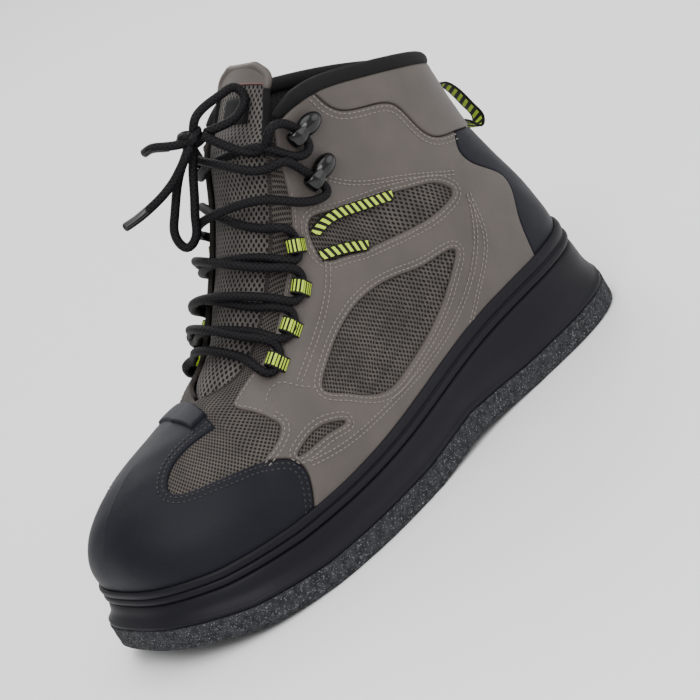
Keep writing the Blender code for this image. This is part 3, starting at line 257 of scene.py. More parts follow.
# Upper edge of the raised lower panel
SWOOSH = {
    "lateral": ((0.150, 0.330), (0.168, 0.290), (0.198, 0.225), (0.248, 0.165), (0.300, 0.128),
                (0.344, 0.165), (0.380, 0.290), (0.402, 0.430), (0.445, 0.640)),
    "medial": ((0.136, 0.210), (0.228, 0.160), (0.310, 0.195), (0.376, 0.300), (0.402, 0.430),
               (0.445, 0.640)),
}
SEAMS = {
    # line, distances of the rows from it
    "lateral": (
        (((0.1705, 0.660), (0.174, 0.688), (0.181, 0.697), (0.196, 0.600), (0.210, 0.480)), (0.0,)),
        (((0.402, 0.400), (0.386, 0.250), (0.352, 0.110), (0.330, 0.030)), (0.0009, -0.0009)),
        (((0.346, 0.775), (0.362, 0.660), (0.384, 0.590), (0.412, 0.520)), (0.0009, -0.0009)),
    ),
    "medial": (
        (((0.398, 0.370), (0.380, 0.280), (0.350, 0.195), (0.320, 0.060)), (0.0009, -0.0009)),
        (((0.346, 0.790), (0.362, 0.690), (0.384, 0.610), (0.412, 0.520)), (0.0009, -0.0009)),
    ),
}
# Where the leather of the scene differs from the part's: the eyestay's front edge and the windows
STAY_FOOT = ((0.146, 0.410), (0.160, 0.453), (0.168, 0.497), (0.166, 0.573))
STAY_EDGE = ((0.166, 0.573), (0.158, 0.690), (0.153, 0.768), (0.161, 0.845), (0.173, 0.880),
             (0.190, 0.862), (0.207, 0.850), (0.224, 0.858),
             (0.240, 0.866), (0.258, 0.870), (0.278, 0.868), (0.298, 0.874), (0.316, 0.905),
             (0.330, 0.955), (0.345, 1.0))
WINDOWS = {
    "lateral": (
        ((0.214, 0.458), (0.230, 0.503), (0.252, 0.522), (0.278, 0.505), (0.302, 0.453),
         (0.326, 0.380), (0.348, 0.325), (0.365, 0.290), (0.351, 0.238), (0.330, 0.194),
         (0.308, 0.170), (0.282, 0.165), (0.255, 0.182), (0.238, 0.255), (0.224, 0.357)),
        ((0.291, 0.745), (0.300, 0.780), (0.325, 0.700), (0.345, 0.640), (0.366, 0.583),
         (0.382, 0.545), (0.396, 0.510), (0.399, 0.465), (0.388, 0.436), (0.372, 0.430),
         (0.356, 0.452), (0.340, 0.487), (0.320, 0.540), (0.302, 0.618), (0.290, 0.690)),
        ((0.168, 0.328), (0.178, 0.353), (0.189, 0.354), (0.199, 0.330), (0.212, 0.260),
         (0.198, 0.288), (0.182, 0.306)),
    ),
    "medial": (
        ((0.202, 0.465), (0.220, 0.550), (0.250, 0.560), (0.270, 0.535), (0.306, 0.415),
         (0.358, 0.280), (0.332, 0.250), (0.282, 0.230), (0.234, 0.200), (0.218, 0.305)),
        ((0.306, 0.640), (0.328, 0.650), (0.350, 0.615), (0.374, 0.555), (0.400, 0.480),
         (0.398, 0.440), (0.368, 0.435), (0.338, 0.500), (0.316, 0.575)),
    ),
}
# Grooves across the mesh of each side
QUILTING = {
    "lateral": (
        ((0.222, 0.470), (0.256, 0.470), (0.300, 0.440), (0.322, 0.392)),
        ((0.226, 0.415), (0.262, 0.412), (0.300, 0.380), (0.345, 0.325)),
        ((0.230, 0.355), (0.268, 0.350), (0.308, 0.322), (0.362, 0.285)),
        ((0.236, 0.295), (0.275, 0.290), (0.315, 0.268), (0.358, 0.250)),
        ((0.244, 0.238), (0.282, 0.232), (0.320, 0.218), (0.348, 0.215)),
    ),
    "medial": (
        ((0.208, 0.300), (0.230, 0.370), (0.252, 0.450), (0.266, 0.540)),
        ((0.232, 0.230), (0.256, 0.310), (0.280, 0.390), (0.296, 0.450)),
        ((0.262, 0.230), (0.286, 0.290), (0.306, 0.340), (0.322, 0.390)),
        ((0.296, 0.240), (0.316, 0.280), (0.332, 0.320), (0.344, 0.340)),
    ),
}
# Rows of stitches, as distances beside their line
WINDOW_ROWS = (0.0018, 0.0040)
SWOOSH_ROWS = (-0.0016, -0.0038)
CUFF_ROWS = (0.0016, 0.0040)
STAY_ROWS = (-0.0052, -0.0074)
STAY_ROWS_TURNS = (0.192, 0.281)
STAY_EDGE_ROWS = (-0.0016,)
STAY_FOOT_ROWS = (-0.0018, -0.0040)
SEAMS_FROM = 0.170           # turn behind the toe cap
# Where each loop and end comes out of the knot, and where a loop goes back
BOW_ROOTS = {
    "bow_loop_1": ((-0.0030, 0.0010, 0.1985), (-0.0060, 0.0050, 0.1950)),
    "bow_loop_2": ((-0.0010, -0.0045, 0.1900), (-0.0020, -0.0080, 0.1915)),
    "lace_end_1": ((0.0010, -0.0015, 0.1920),),
    "lace_end_2": ((-0.0060, 0.0030, 0.1930),),
}
# The pull loop, as shares of its reach and height
PULL_LINE = (
    # back, up
    (0.35, 0.09),
    (0.72, -0.16),
    (0.96, -0.62),
    (1.00, -0.93),
    (0.86, -1.00),
    (0.64, -0.86),
)


def smooth_curve(knots, values, period=None):
    """Smooth cubic through the knots, closed on itself where a period is given, as a function."""
    knots, values = np.asarray(knots, float), np.asarray(values, float)
    count = len(knots)
    after = np.append(knots[1:], knots[0] + period) if period else knots[1:]
    span = after - knots[:len(after)]
    rise = (np.roll(values, -1, 0)[:len(span)] - values[:len(span)]) / span[:, None]
    matrix, right = np.zeros((count, count)), np.zeros_like(values)
    for i in range(count):
        if period or 0 < i < count - 1:
            before, here = span[i - 1], span[i]
            matrix[i, i - 1] = here
            matrix[i, i] = 2 * (before + here)
            matrix[i, (i + 1) % count] = before
            right[i] = 3 * (here * rise[i - 1] + before * rise[i])
        else:
            matrix[i, i] = 2
            matrix[i, 1 if i == 0 else i - 1] = 1
            right[i] = 3 * rise[0 if i == 0 else -1]
    slope = np.linalg.solve(matrix, right)

    def curve(at):
        at = np.asarray(at, float)
        if period:
            at = (at - knots[0]) % period + knots[0]
        i = np.clip(np.searchsorted(knots, at, "right") - 1, 0, len(span) - 1)
        j = (i + 1) % count
        s = ((at - knots[i]) / span[i])[..., None]
        h = span[i][..., None]
        return ((1 + 2 * s) * (1 - s) ** 2 * values[i] + s * (1 - s) ** 2 * h * slope[i]
                + s * s * (3 - 2 * s) * values[j] + s * s * (s - 1) * h * slope[j])
    return curve


def unit(vector):
    vector = np.asarray(vector, float)
    return vector / np.linalg.norm(vector, axis=-1, keepdims=True)


def lengths(points):
    """Length along a line of points, from its start to each of them."""
    return np.append(0, np.cumsum(np.linalg.norm(np.diff(points, axis=0), axis=1)))


# The sole's rim and heights

def sole_rim():
    """The rim as turns and points, with the turns measured along each side's length."""
    rows = np.array(OUTLINE)
    points = np.vstack([[(1.0, TOE_TIP)], rows[::-1, :2], [(0.0, HEEL_TIP)],
                        rows[:, [0, 2]] * (1, -1)])
    points = points * (SOLE_LENGTH, BALL_WIDTH) - (0.5 * SOLE_LENGTH, 0)
    knots = lengths(np.vstack([points, points[:1]]))
    fine = np.linspace(0, knots[-1], RIM_STEPS, endpoint=False)
    line = smooth_curve(knots[:-1], points, knots[-1])(fine)
    length = lengths(np.vstack([line, line[:1]]))
    half = np.interp(knots[len(rows) + 1], fine, length[:-1])
    turn = np.where(length[:-1] < half, 0.5 * length[:-1] / half,
                    0.5 + 0.5 * (length[:-1] - half) / (length[-1] - half))
    return turn, line, length[-1]


RIM_TURN, RIM_LINE, RIM_LENGTH = sole_rim()


def rim(turn, inset=0.0):
    """Points of the rim moved in by the inset, and the outward direction at each."""
    def place(at):
        return np.stack([np.interp(at, RIM_TURN, RIM_LINE[:, k], period=1.0) for k in (0, 1)], -1)
    turn = np.asarray(turn, float)
    ahead = unit(place(turn + SLOPE_STEP) - place(turn - SLOPE_STEP))
    out = np.stack([ahead[..., 1], -ahead[..., 0]], -1)
    return place(turn) - out * np.asarray(inset, float)[..., None], out


HEEL_CURVE = smooth_curve([row[0] for row in SOLE_HEIGHTS], [row[4:] for row in SOLE_HEIGHTS])


def sole_share(x):
    return np.clip(np.asarray(x) / SOLE_LENGTH + 0.5, 0, 1)


def floor_height(x):
    """Underside of the felt, with the toe spring, the arch and the heel's lifted back edge."""
    rows = np.array(SOLE_HEIGHTS)
    share = sole_share(x)
    return (TOE_SPRING * np.interp(share, rows[:, 0], rows[:, 1])
            + ARCH_RISE * np.interp(share, rows[:, 0], rows[:, 3]))


def feather_height(x):
    """Height of the feather line, where the upper stands on the sole."""
    rows = np.array(SOLE_HEIGHTS)
    share = sole_share(x)
    spring = TOE_SPRING * np.interp(share, rows[:, 0], rows[:, 2])
    return BALL_STACK + (HEEL_STACK - BALL_STACK) * HEEL_CURVE(share)[..., 0] + spring


# The last: one cubic rib from the feather line to the top edge for every turn

def rib_curve():
    """The ribs' values along the share, mirrored past both ends so that toe and heel are round."""
    rows = np.array(RIBS)
    before, after = rows[2:0:-1].copy(), rows[-2:-4:-1].copy()
    before[:, 0] *= -1
    after[:, 0] = 2 - after[:, 0]
    after[:, 2] *= -1
    rows = np.vstack([before, rows, after])
    return smooth_curve(rows[:, 0], rows[:, 1:])


RIB_CURVE = rib_curve()


def rib_points(turn):
    turn = np.asarray(turn, float) % 1.0
    side = np.where(turn <= 0.5, 1.0, -1.0)
    share = 2 * np.minimum(turn, 1 - turn)
    base, out = rim(turn, np.full(turn.shape, FEATHER_INSET))
    foot = np.concatenate([base, feather_height(base[..., 0])[..., None]], -1)
    rib = RIB_CURVE(share)
    half_gap = np.where(share > RIDGE_END + 1e-9, np.maximum(rib[..., 1], 0), 0)
    bend = np.clip((rib[..., 0] - TOE_BEND_FROM) / (1 - TOE_BEND_FROM), 0, 1) ** 1.5
    middle = HEEL_TIP + (TOE_TIP - HEEL_TIP) * bend
    top = np.stack([(rib[..., 0] - 0.5) * SOLE_LENGTH,
                    (side * half_gap + middle) * BALL_WIDTH,
                    HEEL_STACK + rib[..., 2] * UPPER_HEIGHT], -1)
    near, far = (RIB_CURVE(np.clip(share + by, 0, 1)) for by in (-RIDGE_STEP, RIDGE_STEP))
    ridge = (near - far)[..., [0, 2]] * (SOLE_LENGTH, UPPER_HEIGHT)
    slope = ridge[..., 1] / ridge[..., 0] * np.clip(1 - (share - RIDGE_END) / RIDGE_FADE, 0, 1)
    zero = np.zeros_like(slope)
    out = np.stack([out[..., 0], out[..., 1], zero], -1)
    lean = np.stack([zero, zero, slope * out[..., 0]], -1)
    up = np.array([0, 0, UPPER_HEIGHT])
    low = foot + out * rib[..., 3:4] * UPPER_HEIGHT + up * rib[..., 4:5]
    high = top + (out + lean) * rib[..., 5:6] * UPPER_HEIGHT - up * rib[..., 6:7]
    return foot, low, high, top


def last_point(turn, rise):
    foot, low, high, top = rib_points(turn)
    t = np.asarray(rise, float)[..., None]
    return ((1 - t) ** 3 * foot + 3 * t * (1 - t) ** 2 * low + 3 * t * t * (1 - t) * high
            + t ** 3 * top)


def one_sided_normal(turn, rise):
    low, high = np.clip(rise - SLOPE_STEP, 0, 1), np.clip(rise + SLOPE_STEP, 0, 1)
    round_boot = last_point(turn + SLOPE_STEP, rise) - last_point(turn - SLOPE_STEP, rise)
    up_boot = last_point(turn, high) - last_point(turn, low)
    return unit(np.cross(round_boot, up_boot))


def last_normal(turn, rise):
    """Outward normal, shared by both sides where they meet along the vamp's ridge."""
    turn, rise = np.broadcast_arrays(np.asarray(turn, float) % 1.0, np.asarray(rise, float))
    normal = one_sided_normal(turn, rise)
    share = 2 * np.minimum(turn, 1 - turn)
    on_ridge = (rise > 1 - 1e-6) & (share <= RIDGE_END + 1e-6)
    joined = unit(one_sided_normal(turn, 0.97) + one_sided_normal(1 - turn, 0.97))
    return np.where(on_ridge[..., None], joined, normal)


def skin(turn, rise, offset=0.0):
    """Point on the smooth upper, moved out by the offset."""
    turn, rise = np.asarray(turn, float), np.asarray(rise, float)
    return last_point(turn, rise) + last_normal(turn, rise) * np.asarray(offset, float)[..., None]


def seated_frame(side, place, ahead, reach, width, offset):
    """Origin, direction on the surface, direction across it and normal for what sits at a place,
    facing ahead or, where that is None, to the boot's front. The origin is lifted so that a base
    that reaches back and ahead clears the facets."""
    turn, rise = place if side > 0 else (1 - place[0], place[1])
    step = SLOPE_STEP
    normal = last_normal(turn, rise)
    by_turn = (last_point(turn + step, rise) - last_point(turn - step, rise)) / (2 * step)
    by_rise = (last_point(turn, rise + step) - last_point(turn, rise - step)) / (2 * step)
    ahead = -side * by_turn if ahead is None else ahead
    ahead = unit(ahead - normal * np.dot(ahead, normal))
    across = np.cross(normal, ahead)
    a, w = (v.ravel() for v in np.meshgrid(np.linspace(*reach, 5), np.linspace(-0.5, 0.5, 5) * width))
    basis = np.array([[by_turn @ ahead, by_rise @ ahead], [by_turn @ across, by_rise @ across]])
    d_turn, d_rise = np.linalg.solve(basis, np.array([a, w]))
    origin = last_point(turn, rise)
    under = skin(turn + d_turn, np.clip(rise + d_rise, 0, 1), offset)
    lift = ((under - origin) @ normal).max() + GAP
    return origin + normal * lift, ahead, across, normal


DOMAIN = np.array([RIM_LENGTH, UPPER_HEIGHT])         # metres for a turn and for a rise


def smooth_line(points, steps=10, closed=False):
    """A curve through the points, with a few steps between neighbours."""
    points = np.array(points, float)
    ring = np.vstack([points, points[:1]]) if closed else points
    knots = lengths(ring * DOMAIN)
    at = np.concatenate([np.linspace(low, high, steps, endpoint=False)
                         for low, high in zip(knots, knots[1:])])
    if closed:
        return smooth_curve(knots[:-1], points, knots[-1])(at)
    return smooth_curve(knots, points)(np.append(at, knots[-1]))


def mirrored(line):
    return np.array(line, float) * (-1, 1) + (1, 0)


def joined(*lines):
    """One outline from seams that follow each other."""
    points = np.vstack(lines)
    keep = np.linalg.norm((points - np.roll(points, 1, 0)) * DOMAIN, axis=1) > 1e-6
    return points[keep]


def inside(outline, points):
    """Which points lie inside a closed outline."""
    x, y = points[:, :1], points[:, 1:]
    ax, ay = outline.T
    bx, by = np.roll(outline, -1, 0).T
    rise = np.where(by == ay, 1e-12, by - ay)
    crosses = ((ay > y) != (by > y)) & (x < ax + (bx - ax) * (y - ay) / rise)
    return crosses.sum(axis=1) % 2 == 1


def on_foot(line):
    """The line with its lowest end lifted to where the leather starts."""
    line = np.array(line)
    return np.column_stack([line[:, 0], np.maximum(line[:, 1], OVERLAY_FOOT)])


def placed(line, side):
    return np.array(line) if side > 0 else mirrored(line)


def throat_side(share, side, offset, rise=1.0):
    return skin(share / 2 if side > 0 else 1 - share / 2, rise, offset)


def throat_forward(share):
    """Direction square to the throat's line, forward and up."""
    def middle(at):
        return 0.5 * (last_point(at / 2, 1.0) + last_point(1 - at / 2, 1.0))
    along = middle(min(share + 0.01, 1)) - middle(share - 0.01)
    return unit(np.array([along[2], 0, -along[0]]))


def across_throat(share, place, offset):
    """Points over the throat: place is 1 at the lateral edge, -1 at the medial one, and past
    them it runs down the upper by half a rise for each half-width."""
    place, offset = np.asarray(place, float), np.asarray(offset, float)[..., None]
    away = np.abs(place)
    turn = np.where(place >= 0, share / 2, 1 - share / 2)
    rise = np.where(away > 1, 1 - 0.5 * (away - 1), 1.0)
    left, right = throat_side(share, 1, 0), throat_side(share, -1, 0)
    gap = np.linalg.norm(left - right) / BALL_WIDTH
    forward, edge = throat_forward(share), last_normal(turn, np.ones(place.shape))
    weight = np.minimum(away, 1)[..., None]
    lift = unit(forward * (1 - weight) + edge * weight)
    crown = THROAT_CROWN * min(1, gap / 0.35) * (1 - place[..., None] ** 2)
    over = (0.5 * (left + right) + 0.5 * place[..., None] * (left - right) + forward * crown
            + lift * offset)
    beyond = last_point(turn, rise) + last_normal(turn, rise) * offset
    return np.where(away[..., None] > 1, beyond, over)


def tongue_stations():
    """The grid's columns between the tongue's lowest and highest row."""
    low, high = TONGUE_ROWS[0][0] * COLUMNS / 2, TONGUE_ROWS[-1][0] * COLUMNS / 2
    return np.arange(math.ceil(low), math.floor(high) + 1) * 2 / COLUMNS


def tongue_direction():
    low, high = tongue_stations()[[-3, -1]]
    return unit(across_throat(high, 0, 0) - across_throat(low, 0, 0))


def keeper_frame(side, turn):
    """A keeper stands square to the leather's front edge and starts just short of it."""
    edge = smooth_line(FRONT_EDGE, CURVE_STEPS)
    half = KEEPER_WIDTH / 2 / RIM_LENGTH
    ends = np.array([turn - half, turn + half])
    rises = np.interp(ends, edge[:, 0], edge[:, 1])
    turns = ends if side > 0 else 1 - ends
    low, high = last_point(turns, rises)
    middle = rises.mean()
    centre_turn = turn if side > 0 else 1 - turn
    normal = last_normal(centre_turn, middle)
    ahead = side * np.cross(normal, high - low)
    ahead = unit(ahead - normal * np.dot(ahead, normal))
    by_turn = (high - low) / (turns[1] - turns[0])
    by_rise = last_point(centre_turn, middle + 0.02) - last_point(centre_turn, middle)
    reach = ahead * (KEEPER_LENGTH + 3 * GAP)
    d_turn, d_rise = np.linalg.lstsq(np.column_stack([by_turn, by_rise / 0.02]), reach, rcond=None)[0]
    place = (centre_turn + d_turn, middle + d_rise)
    if side < 0:
        place = (1 - place[0], place[1])
    return seated_frame(side, place, ahead, (-KEEPER_LENGTH, LACE_BORE + KEEPER_WALL), KEEPER_WIDTH,
                        0.0)


def hook_frame(side, place):
    inner, centre = hook_bend()
    return seated_frame(side, place, None, (-HOOK_PLATE / 2, centre[0] + inner), HOOK_WIDTH,
                        LEATHER + GAP)


def hook_bend():
    """Inner radius of a hook's bend and the bend's centre, ahead of and above the plate."""
    return LACE_BORE, np.array([HOOK_PLATE / 2, LACE_BORE + HOOK_METAL])


def anchors(side):
    """Where each keeper and hook holds the lace, lowest first: its middle, the way up through
    it, the normal there, half the straight run and the run on before the turn."""
    held = []
    for turn in KEEPER_TURNS:
        origin, _, across, normal = keeper_frame(side, turn)
        held.append((origin + normal * (LACE_BORE + KEEPER_WALL), across, normal,
                     KEEPER_WIDTH / 2 + KEEPER_LEAD, KEEPER_TURN))
    centre = hook_bend()[1]
    for place in HOOKS:
        origin, ahead, across, normal = hook_frame(side, place)
        held.append((origin + ahead * centre[0] + normal * centre[1], across, normal,
                     HOOK_WIDTH / 2 + HOOK_LEAD, HOOK_TURN))
    return [(point, across * np.sign(across[2]), *rest) for point, across, *rest in held]


def nearest_share(point, side):
    """Share of the throat's edge that lies nearest to a point."""
    shares = np.linspace(*LACE_SHARES, 100)
    gaps = np.linalg.norm(throat_side(shares, side, 0) - point, axis=1)
    return shares[np.argmin(gaps)]


def over_mesh(end, first, run_on, normal):
    """Point between an anchor and the throat's edge, lifted over the bulge between them."""
    return 0.5 * (end + first) + run_on + normal * LACE_BULGE


def crossing(start, end, side, over):
    """Points of a lace from the top of one anchor over the throat to the foot of the next."""
    point_a, up_a, normal_a, lead_a, turn_a = start
    point_b, up_b, normal_b, lead_b, turn_b = end
    top, foot = point_a + up_a * lead_a, point_b - up_b * lead_b
    share_a, share_b = nearest_share(top, side), nearest_share(foot, -side)
    points = []
    for place, way in LACE_CROSSING:
        lift = LACE / 2 + LACE_CLEAR
        if over:
            lift += (LACE + GAP) * min(1, 1.5 - abs(place))
        points.append(across_throat(share_a + (share_b - share_a) * way, side * place, lift))
    return [top, over_mesh(top, points[0], up_a * turn_a, normal_a), *points,
            over_mesh(foot, points[-1], -up_b * turn_b, normal_b), foot]


def lace_route():
    held = {side: anchors(side) for side in SIDES.values()}
    strands = {}
    for side in SIDES.values():
        route, here = [], side
        for level in range(len(KEEPER_TURNS) + len(HOOKS) - 1):
            route += crossing(held[here][level], held[-here][level + 1], here, side > 0)
            here = -here
        point, up, normal, lead, turn = held[here][-1]
        near = across_throat(LACE_SHARES[1], 0.9 * here, LACE / 2 + LACE_CLEAR + LEATHER)
        top = point + up * lead
        end = np.array(KNOT_CENTRE) + (0, here * (KNOT_SIZE[1] / 2 + LACE / 2), 0)
        route += [top, over_mesh(top, near, up * turn, normal), near, end]
        strands[side] = route
    foot = [held[side][0] for side in (1, -1)]
    low = [point - up * lead for point, up, _, lead, _ in foot]
    share = nearest_share(low[0], 1)
    under = [across_throat(share, place, LACE / 2 + LACE_CLEAR) for place in (1.0, 0.5, -0.5, -1.0)]
    ends = [over_mesh(end, near, -up * turn, normal)
            for end, near, (_, up, normal, _, turn) in zip(low, (under[0], under[-1]), foot)]
    return [*strands[1][::-1], low[0], ends[0], *under, ends[1], low[1], *strands[-1]]


# Materials, all procedural

TURN = 2 * math.pi
COAT_ROUGHNESS = 0.25
CLOUD_SIZE = 0.035           # patches where leather is darker or paler
CREASE_SIZE = 0.0025
THREAD_PITCH = 0.0007
BRAID_WAVES = 2600.0         # radians per metre along the lace
BRAID_STRANDS = 5
WEB_BLACK = (0.005, 0.005, 0.006)
TAUPE = (0.066, 0.0545, 0.0485)
NEON = (0.52, 0.72, 0.05)


def shade(colour, share):
    return tuple(share * c for c in colour)


class Look:
    """A Principled material with a few node shortcuts; lengths are in metres."""

    def __init__(self, name, colour, roughness, metallic=0.0, coat=0.0, shine=0.5):
        self.made = bpy.data.materials.new(name)
        self.made.use_nodes = True
        self.nodes, self.links = self.made.node_tree.nodes, self.made.node_tree.links
        self.shader = self.nodes["Principled BSDF"]
        values = {"Base Color": (*colour, 1.0), "Roughness": roughness, "Metallic": metallic,
                  "Coat Weight": coat, "Coat Roughness": COAT_ROUGHNESS, "Specular IOR Level": shine}
        for key, value in values.items():
            self.shader.inputs[key].default_value = value
        self.made.diffuse_color = (*colour, 1.0)
        self.normal = None

    def put(self, socket, value):
        if isinstance(value, bpy.types.NodeSocket):
            self.links.new(value, socket)
        else:
            socket.default_value = value

    def node(self, kind, **values):
        """A new node with its inputs set or linked; an underscore stands for a space."""
        made = self.nodes.new("ShaderNode" + kind)
        for key, value in values.items():
            self.put(made.inputs[key.replace("_", " ")], value)
        return made

    def math(self, how, *values):
        node = self.node("Math")
        node.operation = how
        for socket, value in zip(node.inputs, values):
            self.put(socket, value)
        return node.outputs[0]

    def uv(self):
        """Sockets of the surface's own two lengths."""
        split = self.node("SeparateXYZ", Vector=self.node("UVMap").outputs[0])
        return split.outputs[0], split.outputs[1]

    def place(self):
        return self.node("TexCoord").outputs["Object"]

    def noise(self, size, detail=3.0, rough=0.55):
        """Noise in space, its grains about as large as the size."""
        return self.node("TexNoise", Vector=self.place(), Scale=1.0 / size, Detail=detail,
                         Roughness=rough).outputs["Fac"]

    def cells(self, size):
        node = self.node("TexVoronoi", Vector=self.place(), Scale=1.0 / size)
        node.feature = "DISTANCE_TO_EDGE"
        return node.outputs["Distance"]

    def ramp(self, value, low, high):
        node = self.node("MapRange", Value=value, From_Min=low, From_Max=high)
        node.interpolation_type = "SMOOTHSTEP"
        return node.outputs["Result"]

    def mix(self, share, first, second):
        node = self.node("Mix")
        node.data_type = "RGBA"
        self.put(node.inputs["Factor"], share)
        for socket, value in ((node.inputs[6], first), (node.inputs[7], second)):
            self.put(socket, value if isinstance(value, bpy.types.NodeSocket) else (*value, 1.0))
        return node.outputs[2]

    def colour(self, value):
        self.links.new(value, self.shader.inputs["Base Color"])

    def rough(self, value, low, high):
        node = self.node("MapRange", Value=value, To_Min=low, To_Max=high)
        self.links.new(node.outputs["Result"], self.shader.inputs["Roughness"])

    def bump(self, height, depth, strength):
        node = self.node("Bump", Height=height, Distance=depth, Strength=strength)
        if self.normal is not None:
            self.links.new(self.normal, node.inputs["Normal"])
        self.normal = node.outputs[0]
        self.links.new(self.normal, self.shader.inputs["Normal"])


def leather_look(name, colour, roughness, grain=0.0009, depth=0.00012, shine=0.4):
    look = Look(name, colour, roughness, shine=shine)
    cloud = look.noise(CLOUD_SIZE)
    look.colour(look.mix(look.ramp(cloud, 0.3, 0.7), shade(colour, 0.86), shade(colour, 1.12)))
    look.rough(cloud, roughness - 0.06, roughness + 0.08)
    look.bump(look.ramp(look.cells(grain), 0.0, 0.25), depth, 0.55)
    look.bump(look.noise(CREASE_SIZE, 4.0), 0.0002, 0.35)
    return look.made


def mesh_look(name, thread, hole, across, along, relief=0.0005):
    """Knit with staggered rows of dark holes; across and along are the holes' pitches."""
    look = Look(name, thread, 0.8, shine=0.25)
    waves = [look.math("COSINE", look.math("MULTIPLY", length, TURN / pitch))
             for length, pitch in zip(look.uv(), (across, along))]
    open_part = look.ramp(look.math("ABSOLUTE", look.math("ADD", *waves)), 0.75, 1.35)
    patch = look.ramp(look.noise(0.012, 2.0), 0.25, 0.75)
    pale = look.mix(patch, shade(thread, 0.78), shade(thread, 1.2))
    look.colour(look.mix(open_part, pale, hole))
    look.bump(look.math("SUBTRACT", 1.0, open_part), relief, 0.9)
    look.bump(look.noise(THREAD_PITCH, 2.0), 0.0001, 0.5)
    return look.made


def stripe_look(name, pitch, share, width, slant=0.0):
    """Black webbing with neon bars across it; the bars keep off the edges, and their neon is painted
    darker in the grooves between the ribs, painted shade.
    """
    look = Look(name, WEB_BLACK, 0.72, shine=0.2)
    u, v = look.uv()
    place = look.math("FRACT", look.math("DIVIDE", look.math("MULTIPLY_ADD", v, slant, u), pitch))
    bar = look.math("LESS_THAN", place, share)
    inner = look.math("LESS_THAN", look.math("ABSOLUTE", v), width)
    ribs = look.math("SINE", look.math("MULTIPLY", v, TURN / THREAD_PITCH))
    # painted shade: the neon falls to three quarters of its colour in the low part of each rib, where the
    # bump sinks
    bright = look.mix(look.ramp(ribs, -1.0, 1.0), shade(NEON, 0.75), NEON)
    look.colour(look.mix(look.math("MULTIPLY", bar, inner), (0.005, 0.005, 0.0055), bright))
    look.bump(ribs, 0.00012, 0.6)
    look.bump(look.ramp(place, 0.0, 0.12), 0.00012, 0.5)
    return look.made


def cord_look():
    """Braid whose strands wind round the lace both ways; the grooves between the strands are painted
    darker, painted shade.
    """
    look = Look("lace_braid", WEB_BLACK, 0.6, shine=0.12)
    u, v = look.uv()
    along = look.math("MULTIPLY", u, BRAID_WAVES)
    weave = look.math("MAXIMUM", *[
        look.math("SINE", look.math("MULTIPLY_ADD", v, way * TURN * BRAID_STRANDS, along))
        for way in (1, -1)])
    # painted shade: the colour is darker where the weave sinks between the strands and paler on their
    # crowns
    look.colour(look.mix(look.ramp(weave, -0.2, 1.0), (0.0020, 0.0019, 0.0024),
                         (0.0072, 0.0066, 0.0080)))
    look.bump(weave, 0.0002, 0.6)
    return look.made


def rubber_look(name, colour, roughness=0.5):
    look = Look(name, colour, roughness, shine=0.15)
    look.rough(look.noise(0.02), roughness - 0.08, roughness + 0.1)
    look.bump(look.noise(0.0011), 0.00012, 0.5)
    return look.made


def felt_look():
    look = Look("grey_felt", (0.02, 0.02, 0.022), 0.96, shine=0.2)
    fine, coarse = look.noise(0.0009, 4.0, 0.7), look.noise(0.0035)
    base = look.mix(look.ramp(coarse, 0.35, 0.65), (0.016, 0.0165, 0.019), (0.034, 0.035, 0.039))
    look.colour(look.mix(look.ramp(fine, 0.56, 0.66), base, (0.17, 0.17, 0.175)))
    look.bump(fine, 0.0009, 0.9)
    look.bump(coarse, 0.0008, 0.6)
    return look.made


LOOKS = {
    # leather: colour, roughness, grain's size and depth, shine
    "leather": leather_look("taupe_leather_grain", TAUPE, 0.5),
    "black_leather": leather_look("coated_leather_grain", (0.0062, 0.0062, 0.0105), 0.5,
                                  0.0007, 0.00006, 0.14),
    "foam": leather_look("black_insole", (0.006, 0.006, 0.007), 0.85, 0.0012, 0.0002, 0.2),
    # mesh: thread, hole, pitches of the holes, relief
    "mesh": mesh_look("taupe_mesh_knit", (0.062, 0.053, 0.047), (0.0035, 0.003, 0.003),
                      0.0027, 0.0034),
    "tongue_mesh": mesh_look("grey_mesh_knit", (0.085, 0.077, 0.070), (0.0035, 0.0035, 0.0035),
                             0.0030, 0.0042),
    "lining": mesh_look("black_mesh_knit", (0.0055, 0.006, 0.0062), (0.0015, 0.0015, 0.0015),
                        0.0030, 0.0030),
    "binding": mesh_look("black_rib_knit", (0.0060, 0.0056, 0.0068), (0.0020, 0.0020, 0.0024),
                         0.0016, 0.0016, 0.0003),
    "rubber": rubber_look("black_rubber_fine", (0.0056, 0.0054, 0.0080)),
    "felt": felt_look(),
    "cord": cord_look(),
    # stripes: pitch, share of it that is bright, half-width and slant of the bars
    "strap": stripe_look("strap_stripes", 0.0036, 0.5, 0.0022, 0.5),
    "keeper": stripe_look("keeper_stripes", 0.0020, 0.5, 0.0029),
    "pull": stripe_look("pull_stripes", 0.0042, 0.48, 0.0036, 0.5),
    "thread": Look("taupe_thread", (0.150, 0.130, 0.117), 0.65).made,
    "red_thread": Look("reddish_thread", (0.11, 0.045, 0.040), 0.65).made,
    "black_thread": Look("black_thread", (0.003, 0.003, 0.0035), 0.4).made,
    "hook": Look("black_gloss", (0.0025, 0.0025, 0.003), 0.14, coat=0.1, shine=0.35).made,
    "metal": Look("dull_grey_ring", (0.26, 0.235, 0.21), 0.34, metallic=0.85).made,
    "aglet": Look("black_plastic_tip", (0.004, 0.004, 0.0045), 0.3).made,
}


# Mesh helpers

TUBE_START = (0.31, 0.2, 0.93)           # any direction that no tube starts along
CAP_REACH = 0.35                         # of a tube's rounded end, in radii
CAP_RADII = (0.02, 0.6)


def add_object(name, data):
    made = bpy.data.objects.new(name, data)
    bpy.context.scene.collection.objects.link(made)
    return made


def on_boot(name, mesh, look, replaces):
    """A smooth object of the mesh that rides on the boot."""
    mesh.shade_smooth()
    mesh.materials.append(LOOKS[look])
    made = add_object(name, mesh)
    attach(made, "root")
    if replaces:
        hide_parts(*replaces)
    return made


